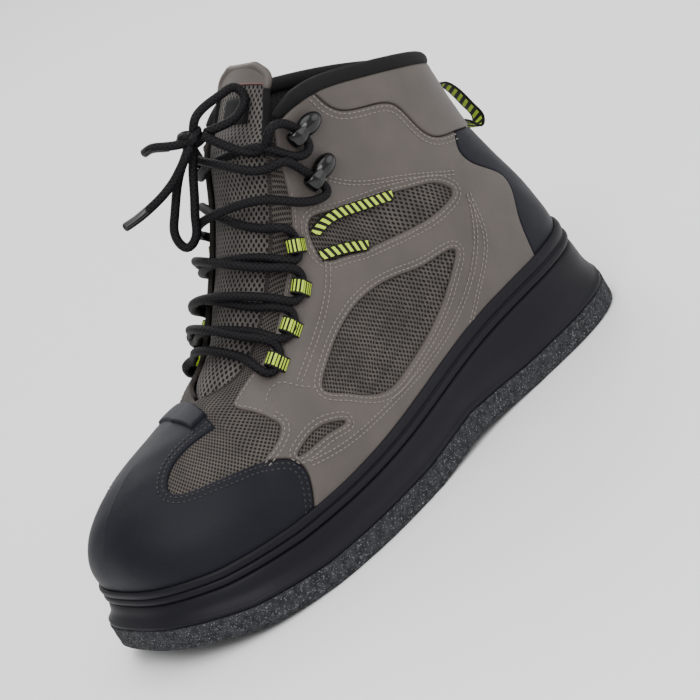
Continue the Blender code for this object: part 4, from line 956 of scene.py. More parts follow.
def piece(name, points, faces, look, replaces=(), uv=None, weld=None):
    """A piece from points and faces; uv gives each point's two lengths. Where a weld distance
    is given, the faces are turned outwards too."""
    mesh = bpy.data.meshes.new(name)
    mesh.from_pydata(np.asarray(points, float).tolist(), [], [list(map(int, f)) for f in faces])
    if uv is not None:
        layer = mesh.uv_layers.new(name="lengths")
        index = np.empty(len(mesh.loops), int)
        mesh.loops.foreach_get("vertex_index", index)
        layer.data.foreach_set("uv", np.asarray(uv, float)[index].astype(np.float32).ravel())
    if weld is not None:
        made = bmesh.new()
        made.from_mesh(mesh)
        if weld:
            bmesh.ops.remove_doubles(made, verts=made.verts, dist=weld)
        bmesh.ops.recalc_face_normals(made, faces=made.faces)
        made.to_mesh(mesh)
        made.free()
    return on_boot(name, mesh, look, replaces)


def grid_faces(rows, columns, closed=False):
    """Quads of a grid whose points are numbered row after row."""
    i, j = np.meshgrid(np.arange(rows - 1), np.arange(columns if closed else columns - 1), indexing="ij")
    k = (j + 1) % columns
    return np.stack([i * columns + j, i * columns + k, (i + 1) * columns + k,
                     (i + 1) * columns + j], -1).reshape(-1, 4)


def grid_piece(name, rows, uv, look, slot, replaces=(), closed=False, weld=None, inner=False):
    """A piece from a grid of points; an inner one shows its other side."""
    faces = grid_faces(*rows.shape[:2], closed)
    return piece(name, rows.reshape(-1, 3), faces[:, ::-1] if inner else faces, look, replaces,
                 uv.reshape(-1, 2), weld)


def tube(name, path, radius, look, slot, sides=14, replaces=(), flat=1.0, up=TUBE_START):
    """A round or oval tube along a dense path, with rounded ends."""
    path = np.asarray(path, float)
    along = unit(np.gradient(path, axis=0))
    frames = [unit(np.cross(along[0], up))]
    for a in along[1:]:
        frames.append(unit(frames[-1] - a * np.dot(frames[-1], a)))
    frames = np.array(frames)
    other = np.cross(along, frames)
    radii = np.broadcast_to(np.asarray(radius, float), len(path)).copy()
    angles = np.linspace(0, TURN, sides + 1)
    length, last = lengths(path), len(path) - 1
    start = path[0] - along[0] * radii[0] * CAP_REACH
    end = path[-1] + along[-1] * radii[-1] * CAP_REACH
    stations = [*[(start, 0, scale) for scale in CAP_RADII], *[(p, i, 1.0) for i, p in enumerate(path)],
                *[(end, last, scale) for scale in CAP_RADII[::-1]]]
    rings = [point + radii[i] * scale * (np.outer(np.cos(angles), frames[i]) * flat
                                         + np.outer(np.sin(angles), other[i]))
             for point, i, scale in stations]
    uv = [np.column_stack([np.full(sides + 1, length[i]), angles / TURN]) for _, i, _ in stations]
    return grid_piece(name, np.array(rings), np.array(uv), look, slot, replaces, weld=1e-7)


def ribbon(name, path, across, out, width, profile, look, replaces, closed=False):
    """Webbing along a path; the profile pairs a share of the width with a height."""
    rows = np.stack([path + across * width * w + out * h for w, h in profile], axis=1)
    uv = np.stack([np.column_stack([lengths(path), np.full(len(path), width * w)])
                   for w, _ in profile], axis=1)
    grid_piece(name, rows, uv, look, "webbing", replaces, closed)


def dense(points, step):
    """A smooth curve through the points, resampled at an even step."""
    points = np.asarray(points, float)
    knots = lengths(points)
    fine = smooth_curve(knots, points)(np.linspace(0, knots[-1], 40 * len(points)))
    length = lengths(fine)
    at = np.linspace(0, length[-1], max(2, round(length[-1] / step)) + 1)
    return np.column_stack([np.interp(at, length, fine[:, k]) for k in range(3)])


def metric(places, step=0.002):
    """Change of the point with the turn and with the rise, at each place."""
    turn, rise = np.asarray(places, float).T
    low, high = np.clip(rise - step, 0, 1), np.clip(rise + step, 0, 1)
    by_turn = (last_point(turn + step, rise) - last_point(turn - step, rise)) / (2 * step)
    by_rise = (last_point(turn, high) - last_point(turn, low)) / (high - low)[:, None]
    return by_turn, by_rise


def moved(line, by, closed=False):
    """The line moved to its left on the surface by a distance; left of the walk in (turn, rise)."""
    line = np.asarray(line, float)
    if closed:
        ahead = np.roll(line, -1, 0) - np.roll(line, 1, 0)
    else:
        ahead = np.gradient(line, axis=0)
    by_turn, by_rise = metric(line)
    tangent = unit(by_turn * ahead[:, :1] + by_rise * ahead[:, 1:])
    left = np.cross(unit(np.cross(by_turn, by_rise)), tangent)
    basis = np.stack([by_turn, by_rise], 1)
    gram = basis @ basis.transpose(0, 2, 1) + 1e-9 * np.eye(2)
    return line + by * np.linalg.solve(gram, basis @ left[..., None])[..., 0]


def edge_distance(places, rings):
    """Distance on the surface from each place to the nearest outline, but not to the ridge,
    where the two halves of a layer meet."""
    by_turn, by_rise = metric(places)
    g11, g22 = np.sum(by_turn ** 2, 1)[:, None], np.sum(by_rise ** 2, 1)[:, None]
    g12 = np.sum(by_turn * by_rise, 1)[:, None]
    best = np.full(len(places), np.inf)
    for ring in rings:
        ridge = (ring[:, 1] > 0.999) & (np.minimum(ring[:, 0] % 1, -ring[:, 0] % 1) < RIDGE_END / 2)
        free = ~(ridge & np.roll(ridge, -1))
        a, e = ring[free], (np.roll(ring, -1, 0) - ring)[free]
        dx, dy = places[:, :1] - a[:, 0], places[:, 1:] - a[:, 1]
        ex, ey = e[:, 0][None], e[:, 1][None]
        size = g11 * ex * ex + 2 * g12 * ex * ey + g22 * ey * ey
        t = (g11 * dx * ex + g12 * (dx * ey + dy * ex) + g22 * dy * ey) / np.maximum(size, 1e-14)
        t = np.clip(t, 0, 1)
        rx, ry = dx - t * ex, dy - t * ey
        best = np.minimum(best, np.sqrt(g11 * rx * rx + 2 * g12 * rx * ry + g22 * ry * ry).min(axis=1))
    return best


def ripple(points, size, seed):
    """Smooth irregular waves between -1 and 1, the same on every run."""
    points = np.asarray(points, float)
    total = np.zeros(len(points))
    for k in range(6):
        angle, pitch = seed + 1.7 * k, (0.6 + 0.17 * k) * size
        way = np.array([math.cos(angle), math.sin(1.3 * angle), math.cos(2.1 * angle + 0.5)])
        total += np.sin(points @ way * TURN / pitch + 2.3 * k + seed)
    return total / 4


def split(ring, step):
    """The ring with its long edges divided, so that the layer follows the boot there."""
    points = []
    for here, there in zip(ring, np.roll(ring, -1, 0)):
        parts = max(1, math.ceil(np.linalg.norm((there - here) * DOMAIN) / step))
        points += [here + (there - here) * k / parts for k in range(parts)]
    return np.array(points)


def winding(ring):
    """1 for a ring that runs against the clock in (turn, rise), -1 for one that runs with it."""
    area = np.sum(ring[:, 0] * np.roll(ring[:, 1], -1) - ring[:, 1] * np.roll(ring[:, 0], -1))
    return 1 if area > 0 else -1


def within(rings, points):
    """Which points lie inside the first ring and outside the others."""
    keep = inside(rings[0], points)
    for ring in rings[1:]:
        keep &= ~inside(ring, points)
    return keep


EDGE_RINGS = (0.00025, 0.0006, 0.0011, 0.0018)
EDGE_KEPT = 0.85             # share of its distance that a point beside an edge has to keep
PANEL_EDGE = 0.0011          # radius of a panel's rounded edge
PANEL_TOP = LEATHER + GAP
WAVE_SIZE = 0.03
WAVE_FADE = 0.006            # from the edge, over which the waves of the leather start


def panel(name, outline, look, replaces=(), holes=(), base=0.0, thick=PANEL_TOP,
          step=0.0024, relief=None, waves=0.00012, edge=PANEL_EDGE):
    """A layer of leather on the upper with rounded edges, cut along its outline and holes."""
    rings = [split(ring, step) for ring in (outline, *holes)]
    low, high = rings[0].min(axis=0), rings[0].max(axis=0)
    turns = np.arange(low[0], high[0], step / RIM_LENGTH)
    rises = np.arange(low[1], high[1] + 1e-9, step / UPPER_HEIGHT)
    grid = np.stack(np.meshgrid(turns, rises, indexing="ij"), -1).reshape(-1, 2)
    inner = []
    for n, ring in enumerate(rings):
        side = winding(ring) * (1 if n == 0 else -1)
        for by in EDGE_RINGS:
            line = moved(ring, side * by, True)
            inner.append(line[edge_distance(line, rings) > EDGE_KEPT * by])
    grid = grid[inside(rings[0], grid)]
    grid = grid[edge_distance(grid, rings) > EDGE_RINGS[-1] + 0.4 * step]
    free = np.vstack([*inner, grid])
    free = free[within(rings, free)]
    edges, start = [], 0
    for ring in rings:
        edges += [(start + i, start + (i + 1) % len(ring)) for i in range(len(ring))]
        start += len(ring)
    flat = np.vstack([*rings, free]) * DOMAIN
    verts, _, faces, *_ = delaunay_2d_cdt([tuple(p) for p in flat], edges, [], 0, 1e-7)
    verts = np.array([tuple(v) for v in verts]) / DOMAIN
    faces = np.array([tuple(f) for f in faces])
    faces = faces[within(rings, verts[faces].mean(axis=1))]
    gap = edge_distance(verts, rings)
    ground = last_point(verts[:, 0], verts[:, 1])
    height = thick * np.sqrt(1 - (1 - np.clip(gap / edge, 0, 1)) ** 2)
    height = height + np.clip(gap / WAVE_FADE, 0, 1) * waves * ripple(ground, WAVE_SIZE, 1.0)
    if relief is not None:
        height = height + relief(verts, gap)
    points = ground + last_normal(verts[:, 0], verts[:, 1]) * (base + height)[:, None]
    used = np.unique(faces)
    number = np.zeros(len(verts), int)
    number[used] = np.arange(len(used))
    return piece(name, points[used], number[faces], look, replaces, (verts * DOMAIN)[used], 1e-6)


# Stitching: short raised capsules along the seams

STITCH_PITCH = 0.0026
STITCH = (0.0019, 0.00036, 0.00030)      # length, half-width and half-height
STITCH_RINGS = ((-0.5, 0.3), (-0.36, 0.85), (0.0, 1.0), (0.36, 0.85), (0.5, 0.3))
STITCH_SIDES = 6
STITCH_BOW = 0.3             # rise of the middle, in half-heights
THREADS = {"thread": [], "black_thread": []}


def stitch_row(line, lift, thread="thread", size=STITCH, closed=False):
    """Stitches along a line of places, seated on the surface at the lift, a number or a
    function of the places."""
    if closed:
        line = np.vstack([line, line[:1]])
    length = lengths(last_point(line[:, 0], line[:, 1]))
    count = max(1, int(length[-1] / STITCH_PITCH))
    at = (np.arange(count) + 0.5) * length[-1] / count

    def place(by):
        return [np.interp(at + by, length, line[:, k]) for k in (0, 1)]

    here, normal = place(0), last_normal(*place(0))
    if callable(lift):
        lift = lift(np.column_stack(here))[:, None]
    ahead = unit(last_point(*place(0.0005)) - last_point(*place(-0.0005)))
    THREADS[thread].append((last_point(*here) + normal * lift, ahead, np.cross(normal, ahead),
                            normal, size))


def stitch_rows(line, ways, side, lift, closed=False):
    """Rows of stitches beside a line, at these distances to its left."""
    for by in ways:
        stitch_row(placed(moved(line, by, closed), side), lift, closed=closed)


def sew_threads():
    angles = np.arange(STITCH_SIDES) * TURN / STITCH_SIDES
    last = STITCH_SIDES * (len(STITCH_RINGS) - 1)
    for thread, rows in THREADS.items():
        points, faces = [], []
        for middle, ahead, across, normal, (long, wide, tall) in rows:
            for m, a, w, n in zip(middle, ahead, across, normal):
                start = len(points)
                for s, r in STITCH_RINGS:
                    bow = STITCH_BOW * tall * (1 - (2 * s) ** 2)
                    points += [m + a * long * s + w * (wide * r * math.cos(t))
                               + n * (tall * r * math.sin(t) + bow) for t in angles]
                faces += (grid_faces(len(STITCH_RINGS), STITCH_SIDES, True) + start).tolist()
                faces += [[start + k for k in range(STITCH_SIDES)][::-1],
                          [start + last + k for k in range(STITCH_SIDES)]]
        piece("stitches_" + thread, points, faces, thread)


# Camera, light and floor

def frame_camera():
    """The photo's view of the boot: same place and roll, turned to the middle and filled."""
    place = Vector(CAMERA_PLACE)
    points = np.array([v.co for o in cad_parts.values() for v in o.data.vertices])
    aim, rolled_up = Vector(FIRST_AIM), Vector(CAMERA_UP)
    for _ in range(6):
        ahead = (aim - place).normalized()
        up = (rolled_up - ahead * rolled_up.dot(ahead)).normalized()
        right = ahead.cross(up)
        seen = points - np.array(place)
        flat = seen @ np.array([right, up]).T / (seen @ np.array(ahead))[:, None]
        middle = 0.5 * (flat.min(axis=0) + flat.max(axis=0))
        aim = place + (ahead + right * float(middle[0]) + up * float(middle[1])) * (aim - place).length
    data = bpy.data.cameras.new("camera")
    data.sensor_width = SENSOR
    data.lens = SENSOR * CAMERA_FILL / float((flat.max(axis=0) - flat.min(axis=0)).max())
    camera = add_object("camera", data)
    camera.matrix_world = Matrix.Translation(place) @ Matrix((right, up, -ahead)).transposed().to_4x4()
    bpy.context.scene.camera = camera


def studio():
    for name, place, size, power in LIGHTS:
        data = bpy.data.lights.new(name, "AREA")
        data.shape, data.size, data.energy = "DISK", size, power
        light = add_object(name, data)
        light.location = place
        light.rotation_euler = (Vector(LIGHT_AIM) - Vector(place)).to_track_quat("-Z", "Y").to_euler()
    world = bpy.data.worlds.new("studio")
    bpy.context.scene.world = world
    world.use_nodes = True
    back = world.node_tree.nodes["Background"]
    back.inputs["Color"].default_value = (1, 1, 1, 1)
    back.inputs["Strength"].default_value = WORLD_LIGHT
    mesh = bpy.data.meshes.new("floor")
    corners = [(x * FLOOR_REACH, y * FLOOR_REACH, 0) for x, y in ((-1, -1), (1, -1), (1, 1), (-1, 1))]
    mesh.from_pydata(corners, [], [(0, 1, 2, 3)])
    mesh.materials.append(Look("pale_floor", FLOOR_GREY, 0.6).made)
    add_object("floor", mesh)


# Lace and bow

CORD_STEP = 0.0012
CORD_SIDES = 12
CORD_FIT = 0.98              # radius drawn, as a share of the lace's
KNOT_FIT = 0.9
KNOT_INSET = (0.0018, 0.0022, 0.0020)
KNOT_SPAN = (1.0, 2.75, 2.9)             # reach of the trefoil's formula along each axis
AGLET_POINTS = 12            # of the cord's path that the tip covers
AGLET_SHIFT = 0.0008


def cord(name, path, fit, replaces):
    return tube(name, path, fit * LACE / 2, "cord", "cord", CORD_SIDES, replaces)


def lace_and_bow():
    cord("lace_bars_round", dense(lace_route(), CORD_STEP), CORD_FIT, ["lace_bars"])
    turns = np.linspace(0, TURN, 90, endpoint=False)
    trefoil = np.column_stack([np.sin(3 * turns), np.sin(turns) + 2 * np.sin(2 * turns),
                               np.cos(turns) - 2 * np.cos(2 * turns)])
    reach = np.array(KNOT_SIZE) / 2 - KNOT_INSET
    path = np.array(KNOT_CENTRE) + trefoil / KNOT_SPAN * reach
    cord("lace_knot_wraps", np.vstack([path, path[:1]]), KNOT_FIT, ["lace_knot"])
    for name, points in BOW_ROUTES.items():
        path = dense([BOW_ROOTS[name][0], *points, *BOW_ROOTS[name][1:]], CORD_STEP)
        made = cord(name + "_round", path, CORD_FIT, [name])
        if "end" in name:
            tip = path[-AGLET_POINTS:] + unit(path[-1] - path[-2]) * AGLET_SHIFT
            parts = [tube(name + "_tip", tip, AGLET * LACE / 2, "aglet", "cord", CORD_SIDES)]


# Sole

SOLE_TURNS = np.arange(512) / 512
SOLE_OUT = rim(SOLE_TURNS)[1]
FLOOR_LINE = floor_height(rim(SOLE_TURNS)[0][:, 0])
FEATHER_LINE = feather_height(rim(SOLE_TURNS, FEATHER_INSET)[0][:, 0])
FELT_ROWS = 7
FELT_UNDERSIDE = 0.012       # inset of the last ring below
FELT_TOP = 0.004             # inset of the last ring above
FELT_FUZZ = 0.00018
FELT_FUZZ_SIZE = 0.009
WALL_FOOT = (                # inset beyond the foot's and height above the felt
    (0.004, 0.0),
    (0.0003, 0.0),
    (0.0, 0.0004),
    (0.0, WALL_LIP),
    (0.0006, WALL_LIP + 0.0003),
)
WALL_HOLLOW = 0.0021


def sole_ring(heights, inset, lift):
    """Points all round the rim, moved in by the inset and lifted off the heights."""
    return np.column_stack([rim(SOLE_TURNS, inset)[0], heights + lift])


def ring_lengths(count, pitch):
    """The two lengths of each point of so many rings."""
    return np.vstack([np.column_stack([SOLE_TURNS * RIM_LENGTH, np.full(len(SOLE_TURNS), pitch * k)])
                      for k in range(count)])


def stacked(name, rings, look, replaces):
    """A closed solid of rim rings; its ends are closed by rungs from side to side."""
    count = len(SOLE_TURNS)
    faces = grid_faces(len(rings), count, True).tolist()
    for start in (0, (len(rings) - 1) * count):
        for i in range(count // 2):
            rung = (start + i, start + i + 1, start + (count - i - 1) % count,
                    start + (count - i) % count)
            faces.append(list(dict.fromkeys(rung)))
    piece(name, np.vstack(rings), faces, look, replaces, ring_lengths(len(rings), 0.004), 0.0)


def sole():
    rings = [sole_ring(FLOOR_LINE, FELT_CHAMFER + inset, 0.0) for inset in (FELT_UNDERSIDE, 0.0)]
    for k, share in enumerate(np.linspace(0, 1, FELT_ROWS)):
        ring = sole_ring(FLOOR_LINE, 0.0, FELT_CHAMFER + (FELT_THICKNESS - FELT_CHAMFER) * share)
        fuzz = FELT_FUZZ * ripple(ring, FELT_FUZZ_SIZE, 0.7 + k)
        ring[:, :2] += SOLE_OUT * fuzz[:, None]
        rings.append(ring)
    rings.append(sole_ring(FLOOR_LINE, FELT_TOP, FELT_THICKNESS))
    stacked("felt_sole", rings, "felt", ["outsole_felt"])
    base, drop = FELT_THICKNESS + GAP, RAND_DROP + GAP
    foot = sole_ring(FLOOR_LINE, WALL_FOOT_INSET, base + WALL_LIP)
    top = sole_ring(FEATHER_LINE, WALL_TOP_INSET, -drop)
    rings = [sole_ring(FLOOR_LINE, WALL_FOOT_INSET + inset, base + lift) for inset, lift in WALL_FOOT]
    for share in np.linspace(0, 1, 9)[1:-1]:
        ring = foot + (top - foot) * share
        inward = WALL_HOLLOW * math.sin(math.pi * min(1, share * 1.15)) * (1 - share)
        ring[:, :2] -= SOLE_OUT * inward
        rings.append(ring)
    rings += [top, *[sole_ring(FEATHER_LINE, FEATHER_INSET, lift) for lift in (-drop, -GAP)]]
    stacked("rubber_wall", rings, "rubber", ["midsole_wall"])


def rand_beads():
    """Two rounded ribs with a groove between, round the foot of the upper."""
    clear = 2 * GAP + LEATHER
    foot, out = rim(SOLE_TURNS, FEATHER_INSET)
    foot = np.column_stack([foot, FEATHER_LINE])
    out = np.column_stack([out, np.zeros(len(out))])
    rows = [foot + out * GAP - (0, 0, RAND_DROP)]
    for angle in np.radians(np.linspace(-80, 70, 9)):
        rows.append(foot + out * (clear + BEAD_LOWER * (0.4 + 0.6 * math.cos(angle)))
                    + (0, 0, 0.5 * RAND_DROP * (math.sin(angle) - 1)))
    for angle in np.radians(np.linspace(-75, 85, 9)):
        rows.append(skin(SOLE_TURNS, RAND_RISE * (0.52 + 0.46 * math.sin(angle)),
                         clear + BEAD_UPPER * (0.25 + 0.75 * math.cos(angle))))
    rows += [skin(SOLE_TURNS, RAND_RISE, clear - GAP), skin(SOLE_TURNS, 0.0, clear - 2 * GAP)]
    count = len(SOLE_TURNS)
    faces = grid_faces(len(rows) + 1, count, True) % (len(rows) * count)
    piece("rand_beads", np.vstack(rows), faces, "rubber", ["rand"],
          ring_lengths(len(rows), 0.001))


# Upper: fabric, lining and leather

QUILT = (0.0011, 0.0014)     # depth and half-width of a groove
FABRIC_GRID = (449, 73)
FABRIC_WAVES = (0.00025, 0.026)          # height and size
LINING_FROM = 0.30           # share
PADDING = 0.0042
PADDING_FROM = (0.62, 0.42)  # share and rise
PIPING = 0.00135
PIPING_END = 0.705
CAP_ROWS = (0.0022, 0.0048)
CAP_STITCH = (0.0014, 0.0005, 0.0003)
TAB_FRONT = 0.113            # turns of the tab behind the toe cap's tongue
TAB_CURVE = 0.017
TAB_BACK = 0.1352
SWOOSH_STEP = (0.00065, 0.0003)          # height of the raised lower panel and its softness
STAY_STEP = (0.0006, 0.0006)             # the same of the thinner eyestay
DRAIN_HOLE = 0.0032          # radius
CUFF_PADDING = (0.0011, 0.012)           # height and the distance from the edge that it takes
COLLAR_TURNS = (0.350, 0.650)


def groove(turn, rise, lines):
    """Grooves of the quilting; each line is (turn, rise) points on the lateral half."""
    depth, width = QUILT
    total = np.zeros(turn.shape)
    flat = np.stack([turn, rise], -1).reshape(-1, 2) * DOMAIN
    for line in lines:
        line = smooth_line(line, 6) * DOMAIN
        near = np.full(len(flat), np.inf)
        for start, span in zip(line[:-1], np.diff(line, axis=0)):
            t = np.clip(((flat - start) @ span) / (span @ span), 0, 1)
            near = np.minimum(near, np.linalg.norm(flat - start - t[:, None] * span, axis=1))
        total -= depth * np.exp(-(near / width) ** 2).reshape(turn.shape)
    return total


def cloth(name, turn, rise, lift, look, replaces=(), **settings):
    """A layer over a grid of places, lifted off the boot's surface."""
    uv = np.stack([turn * RIM_LENGTH, rise * FABRIC_HEIGHT], -1)
    grid_piece(name, skin(turn, rise, lift), uv, look, "mesh", replaces, **settings)


def fabric():
    turn, rise = np.meshgrid(*[np.linspace(0, 1, count) for count in FABRIC_GRID], indexing="ij")
    both = np.minimum(turn, 1 - turn)
    relief = np.where(turn <= 0.5, groove(both, rise, QUILTING["lateral"]),
                      groove(both, rise, QUILTING["medial"]))
    height, size = FABRIC_WAVES
    relief += height * ripple(last_point(turn, rise).reshape(-1, 3), size, 3.0).reshape(turn.shape)
    cloth("upper_fabric", turn, rise, relief, "mesh", ["upper"], weld=1e-6)


def lining():
    """Padded black lining inside the collar and a plain one further down."""
    turn, rise = np.meshgrid(np.linspace(LINING_FROM / 2, 1 - LINING_FROM / 2, 300),
                             np.linspace(0.02, 1, 60), indexing="ij")
    from_share, from_rise = PADDING_FROM
    share = 2 * np.minimum(turn, 1 - turn)
    swell = np.sin(math.pi * np.clip((rise - from_rise) / 0.56, 0, 1)) ** 0.6
    pad = np.clip((share - from_share) / 0.1, 0, 1) * swell
    cloth("collar_lining", turn, rise, -WALL - PADDING * pad, "lining", inner=True)


def throat_piping():
    """Folded edge of the fabric along both sides of the throat."""
    for side_name, side in SIDES.items():
        share = np.linspace(RIDGE_END + 0.012, PIPING_END, 200)
        turn = share / 2 if side > 0 else 1 - share / 2
        path = skin(turn, np.full(len(turn), 0.997), -0.5 * WALL)
        tube("throat_piping_" + side_name, path, PIPING, "mesh", "mesh", 10)


def toe_leather():
    cap, sweep = smooth_line(on_foot(CAP_EDGE)), smooth_line(CAP_SWEEP)
    half = joined(cap, sweep, STRIP_END)
    outline = joined(half, (half * (-1, 1))[::-1])
    panel("toe_cap_leather", outline, "black_leather", ["toe_cap"], waves=0.0002)
    for by in CAP_ROWS:
        for line in (cap, sweep):
            for side in SIDES.values():
                stitch_row(placed(moved(line, by), side), PANEL_TOP, "black_thread", CAP_STITCH)
    rise = np.linspace(0.80, 1.0, 12)
    fold = TAB_FRONT - TAB_CURVE * ((rise - rise[0]) / (1 - rise[0])) ** 1.5
    half = np.column_stack([np.append(fold, np.full(len(fold), TAB_BACK)), np.append(rise, rise[::-1])])
    for side_name, side in SIDES.items():
        panel("toe_tab_" + side_name, half * (side, 1), "black_leather",
              base=PANEL_TOP - 0.0004, thick=0.0020, edge=0.0012, step=0.0016)


def heel_leather():
    lateral = smooth_line(on_foot(COUNTER_EDGE))
    ring = joined(lateral, smooth_line(COUNTER_TOP), mirrored(lateral)[::-1])
    panel("heel_counter_leather", ring, "black_leather", ["heel_counter"], waves=0.0002)


def quarter_leather():
    for side_name, side in SIDES.items():
        outline = joined(*[smooth_line(line) for line in (on_foot(COUNTER_EDGE), CUFF_EDGE[side_name])],
                         *[smooth_line(line)[::-1] for line in (STAY_EDGE, STAY_FOOT, on_foot(CAP_EDGE))])
        windows = [smooth_line(window, 8, True) for window in WINDOWS[side_name]]
        drains = [drain_hole(*place) for place in EYELETS] if side_name == "medial" else []
        swoosh, stay = smooth_line(SWOOSH[side_name], 8), smooth_line(FRONT_EDGE, 8)

        def step(places, gap):
            """A raised lower panel, and a thinner eyestay under the loops."""
            own = placed(places, side)
            edge, front = (np.interp(own[:, 0], *line.T) for line in (swoosh, stay))
            up, thin = (height / (1 + np.exp(-np.clip(way * UPPER_HEIGHT / soft, -30, 30)))
                        for way, (height, soft) in ((edge - own[:, 1], SWOOSH_STEP),
                                                    (own[:, 1] - front, STAY_STEP)))
            return up * (own[:, 0] > SWOOSH[side_name][0][0]) - thin * np.clip(gap / PANEL_EDGE, 0, 1)

        def lift(places):
            return PANEL_TOP + 0.0001 + step(places, np.ones(len(places)))

        panel("quarter_leather_" + side_name, placed(outline, side), "leather",
              ["quarter_" + side_name], [placed(h, side) for h in windows + drains], relief=step)
        for window in windows:
            stitch_rows(window, [-winding(window) * by for by in WINDOW_ROWS], side, lift, True)
        for line, ways in (*SEAMS[side_name], (SWOOSH[side_name][:-1], SWOOSH_ROWS)):
            line = smooth_line(line, 8)
            stitch_rows(line[line[:, 0] > SEAMS_FROM], ways, side, lift)
        stitch_rows(smooth_line(CUFF_EDGE[side_name], 8), CUFF_ROWS, side, lift)
        low, high = STAY_ROWS_TURNS
        stitch_rows(stay[(stay[:, 0] > low) & (stay[:, 0] < high)], STAY_ROWS, side, lift)
        stitch_rows(smooth_line(STAY_EDGE, 8), STAY_EDGE_ROWS, side, PANEL_TOP - STAY_STEP[0])
        stitch_rows(smooth_line(STAY_FOOT, 8), STAY_FOOT_ROWS, side, lift)


def drain_hole(turn, rise, count=28):
    angles = np.arange(count) * TURN / count
    by_turn, by_rise = metric([(turn, rise)])
    scale = np.linalg.norm(by_turn[0]), np.linalg.norm(by_rise[0])
    ring = np.column_stack([np.cos(angles), np.sin(angles)])
    return np.array([turn, rise]) + DRAIN_HOLE * ring / scale


def cuff_leather():
    lateral = smooth_line(CUFF_EDGE["lateral"])
    medial = mirrored(smooth_line(CUFF_EDGE["medial"]))
    ring = joined(lateral[::-1], smooth_line(COUNTER_TOP), medial)
    height, reach = CUFF_PADDING
    panel("cuff_leather", ring, "leather", ["cuff"], thick=PANEL_TOP + GAP,
          relief=lambda places, gap: height * np.clip(gap / reach, 0, 1) ** 0.7)


def collar_tube():
    turns = np.linspace(*COLLAR_TURNS, 260)
    ones = np.ones(len(turns))
    top, below = last_point(turns, ones), last_point(turns, 0.97 * ones)
    rise = unit(top - below)
    centre = top - last_normal(turns, ones) * WALL / 2 + rise * (BINDING_RADIUS * 0.62 + GAP)
    low, high = COLLAR_TURNS
    ends = np.minimum(1, 0.55 + 9 * np.minimum(turns - low, high - turns) / (high - low))
    made = tube("collar_binding_knit", centre, BINDING_RADIUS * ends, "binding", "knit", 18,
                ["collar_binding"])


# Tongue

TONGUE_GRID = (48, 26, 29)   # rows below the collar's front, rows above it, columns
TONGUE_THIN = 0.0012         # thickness at the sides
QUILT_PUFF = 0.0009
BINDING_TOP = 0.66           # share of the reach at which the leather tip starts
LABEL_REACH = (0.02, 0.52)
LABEL_HALF = 7               # columns


def tongue_pieces():
    low_rows, high_rows, columns = TONGUE_GRID
    shares, halves = np.array(TONGUE_ROWS).T
    under, top_share = -(WALL + TONGUE_PLAY), tongue_stations()[-1]
    way = tongue_direction() * TONGUE_REACH
    tips, tip_halves = np.array([(0.0, halves[-1]), *TONGUE_TIP_ROWS]).T
    tip_curve = smooth_curve(tips, tip_halves[:, None])
    rows = [(s, np.interp(s, shares, halves), 0.0) for s in np.linspace(TONGUE_FOOT, top_share, low_rows)]
    rows += [(top_share, float(tip_curve(h)[0]), h) for h in np.linspace(0, 1, high_rows)[1:]]
    crown = 1 - np.abs(np.linspace(-1, 1, columns)) ** 3.5
    front, back = [], []
    for share, half, height in rows:
        places = np.linspace(-half, half, columns)
        thin = 1 - 0.45 * height ** 3
        puff = QUILT_PUFF * crown * thin * np.abs(math.sin(math.pi * (share - 0.31) / 0.095))
        thick = TONGUE_THIN + (TONGUE_THICKNESS * thin - TONGUE_THIN) * crown
        front.append(across_throat(share, places, under - 0.0006 + puff) + way * height)
        back.append(across_throat(share, places, under - thick) + way * height)
    front, back, heights = np.array(front), np.array(back), np.array(rows)[:, 2]
    breadths = np.array([lengths(row) for row in front])
    along = np.broadcast_to(lengths(front[:, columns // 2])[:, None], breadths.shape)
    uv = np.stack([breadths - breadths[:, -1:] / 2, along], -1)
    shell, shell_uv = (np.concatenate([one, other[:, ::-1]], axis=1)
                       for one, other in ((front, back), (uv, uv)))
    made = grid_piece("tongue_mesh_front", shell, shell_uv, "tongue_mesh", "mesh", ["tongue"], True)
    edges, bound = 0.5 * (front + back), int(np.sum(heights < BINDING_TOP))
    for name, column in (("lateral", -1), ("medial", 0)):
        tube("tongue_binding_" + name, dense(edges[8:bound:2, column], 0.0016), 0.0019,
             "binding", "knit", 12)
    tip = np.vstack([edges[bound - 1:, 0], edges[-1], edges[bound - 1:, -1][::-1]])
    tube("tongue_rim", dense(tip[::2], 0.0016), 0.0021, "leather", "leather", 14)
    band, normal = heights > BINDING_TOP, throat_forward(top_share)
    grid_piece("tongue_band", front[band] + normal * 0.0009, uv[band], "leather", "leather")
    tube("tongue_band_thread", front[band][0] + normal * 0.0010, 0.0004, "red_thread", "cord", 8)
    label = (heights > LABEL_REACH[0]) & (heights < LABEL_REACH[1])
    middle = slice(columns // 2 - LABEL_HALF, columns // 2 + LABEL_HALF + 1)
    patch = front[label][:, middle]
    lift = np.full(patch.shape[:2], 0.0002)
    lift[1:-1, 1:-1] = 0.0011
    grid_piece("tongue_patch", patch + normal * lift[..., None], uv[label][:, middle], "binding",
               "knit", ["tongue_label"])


# Lace holders

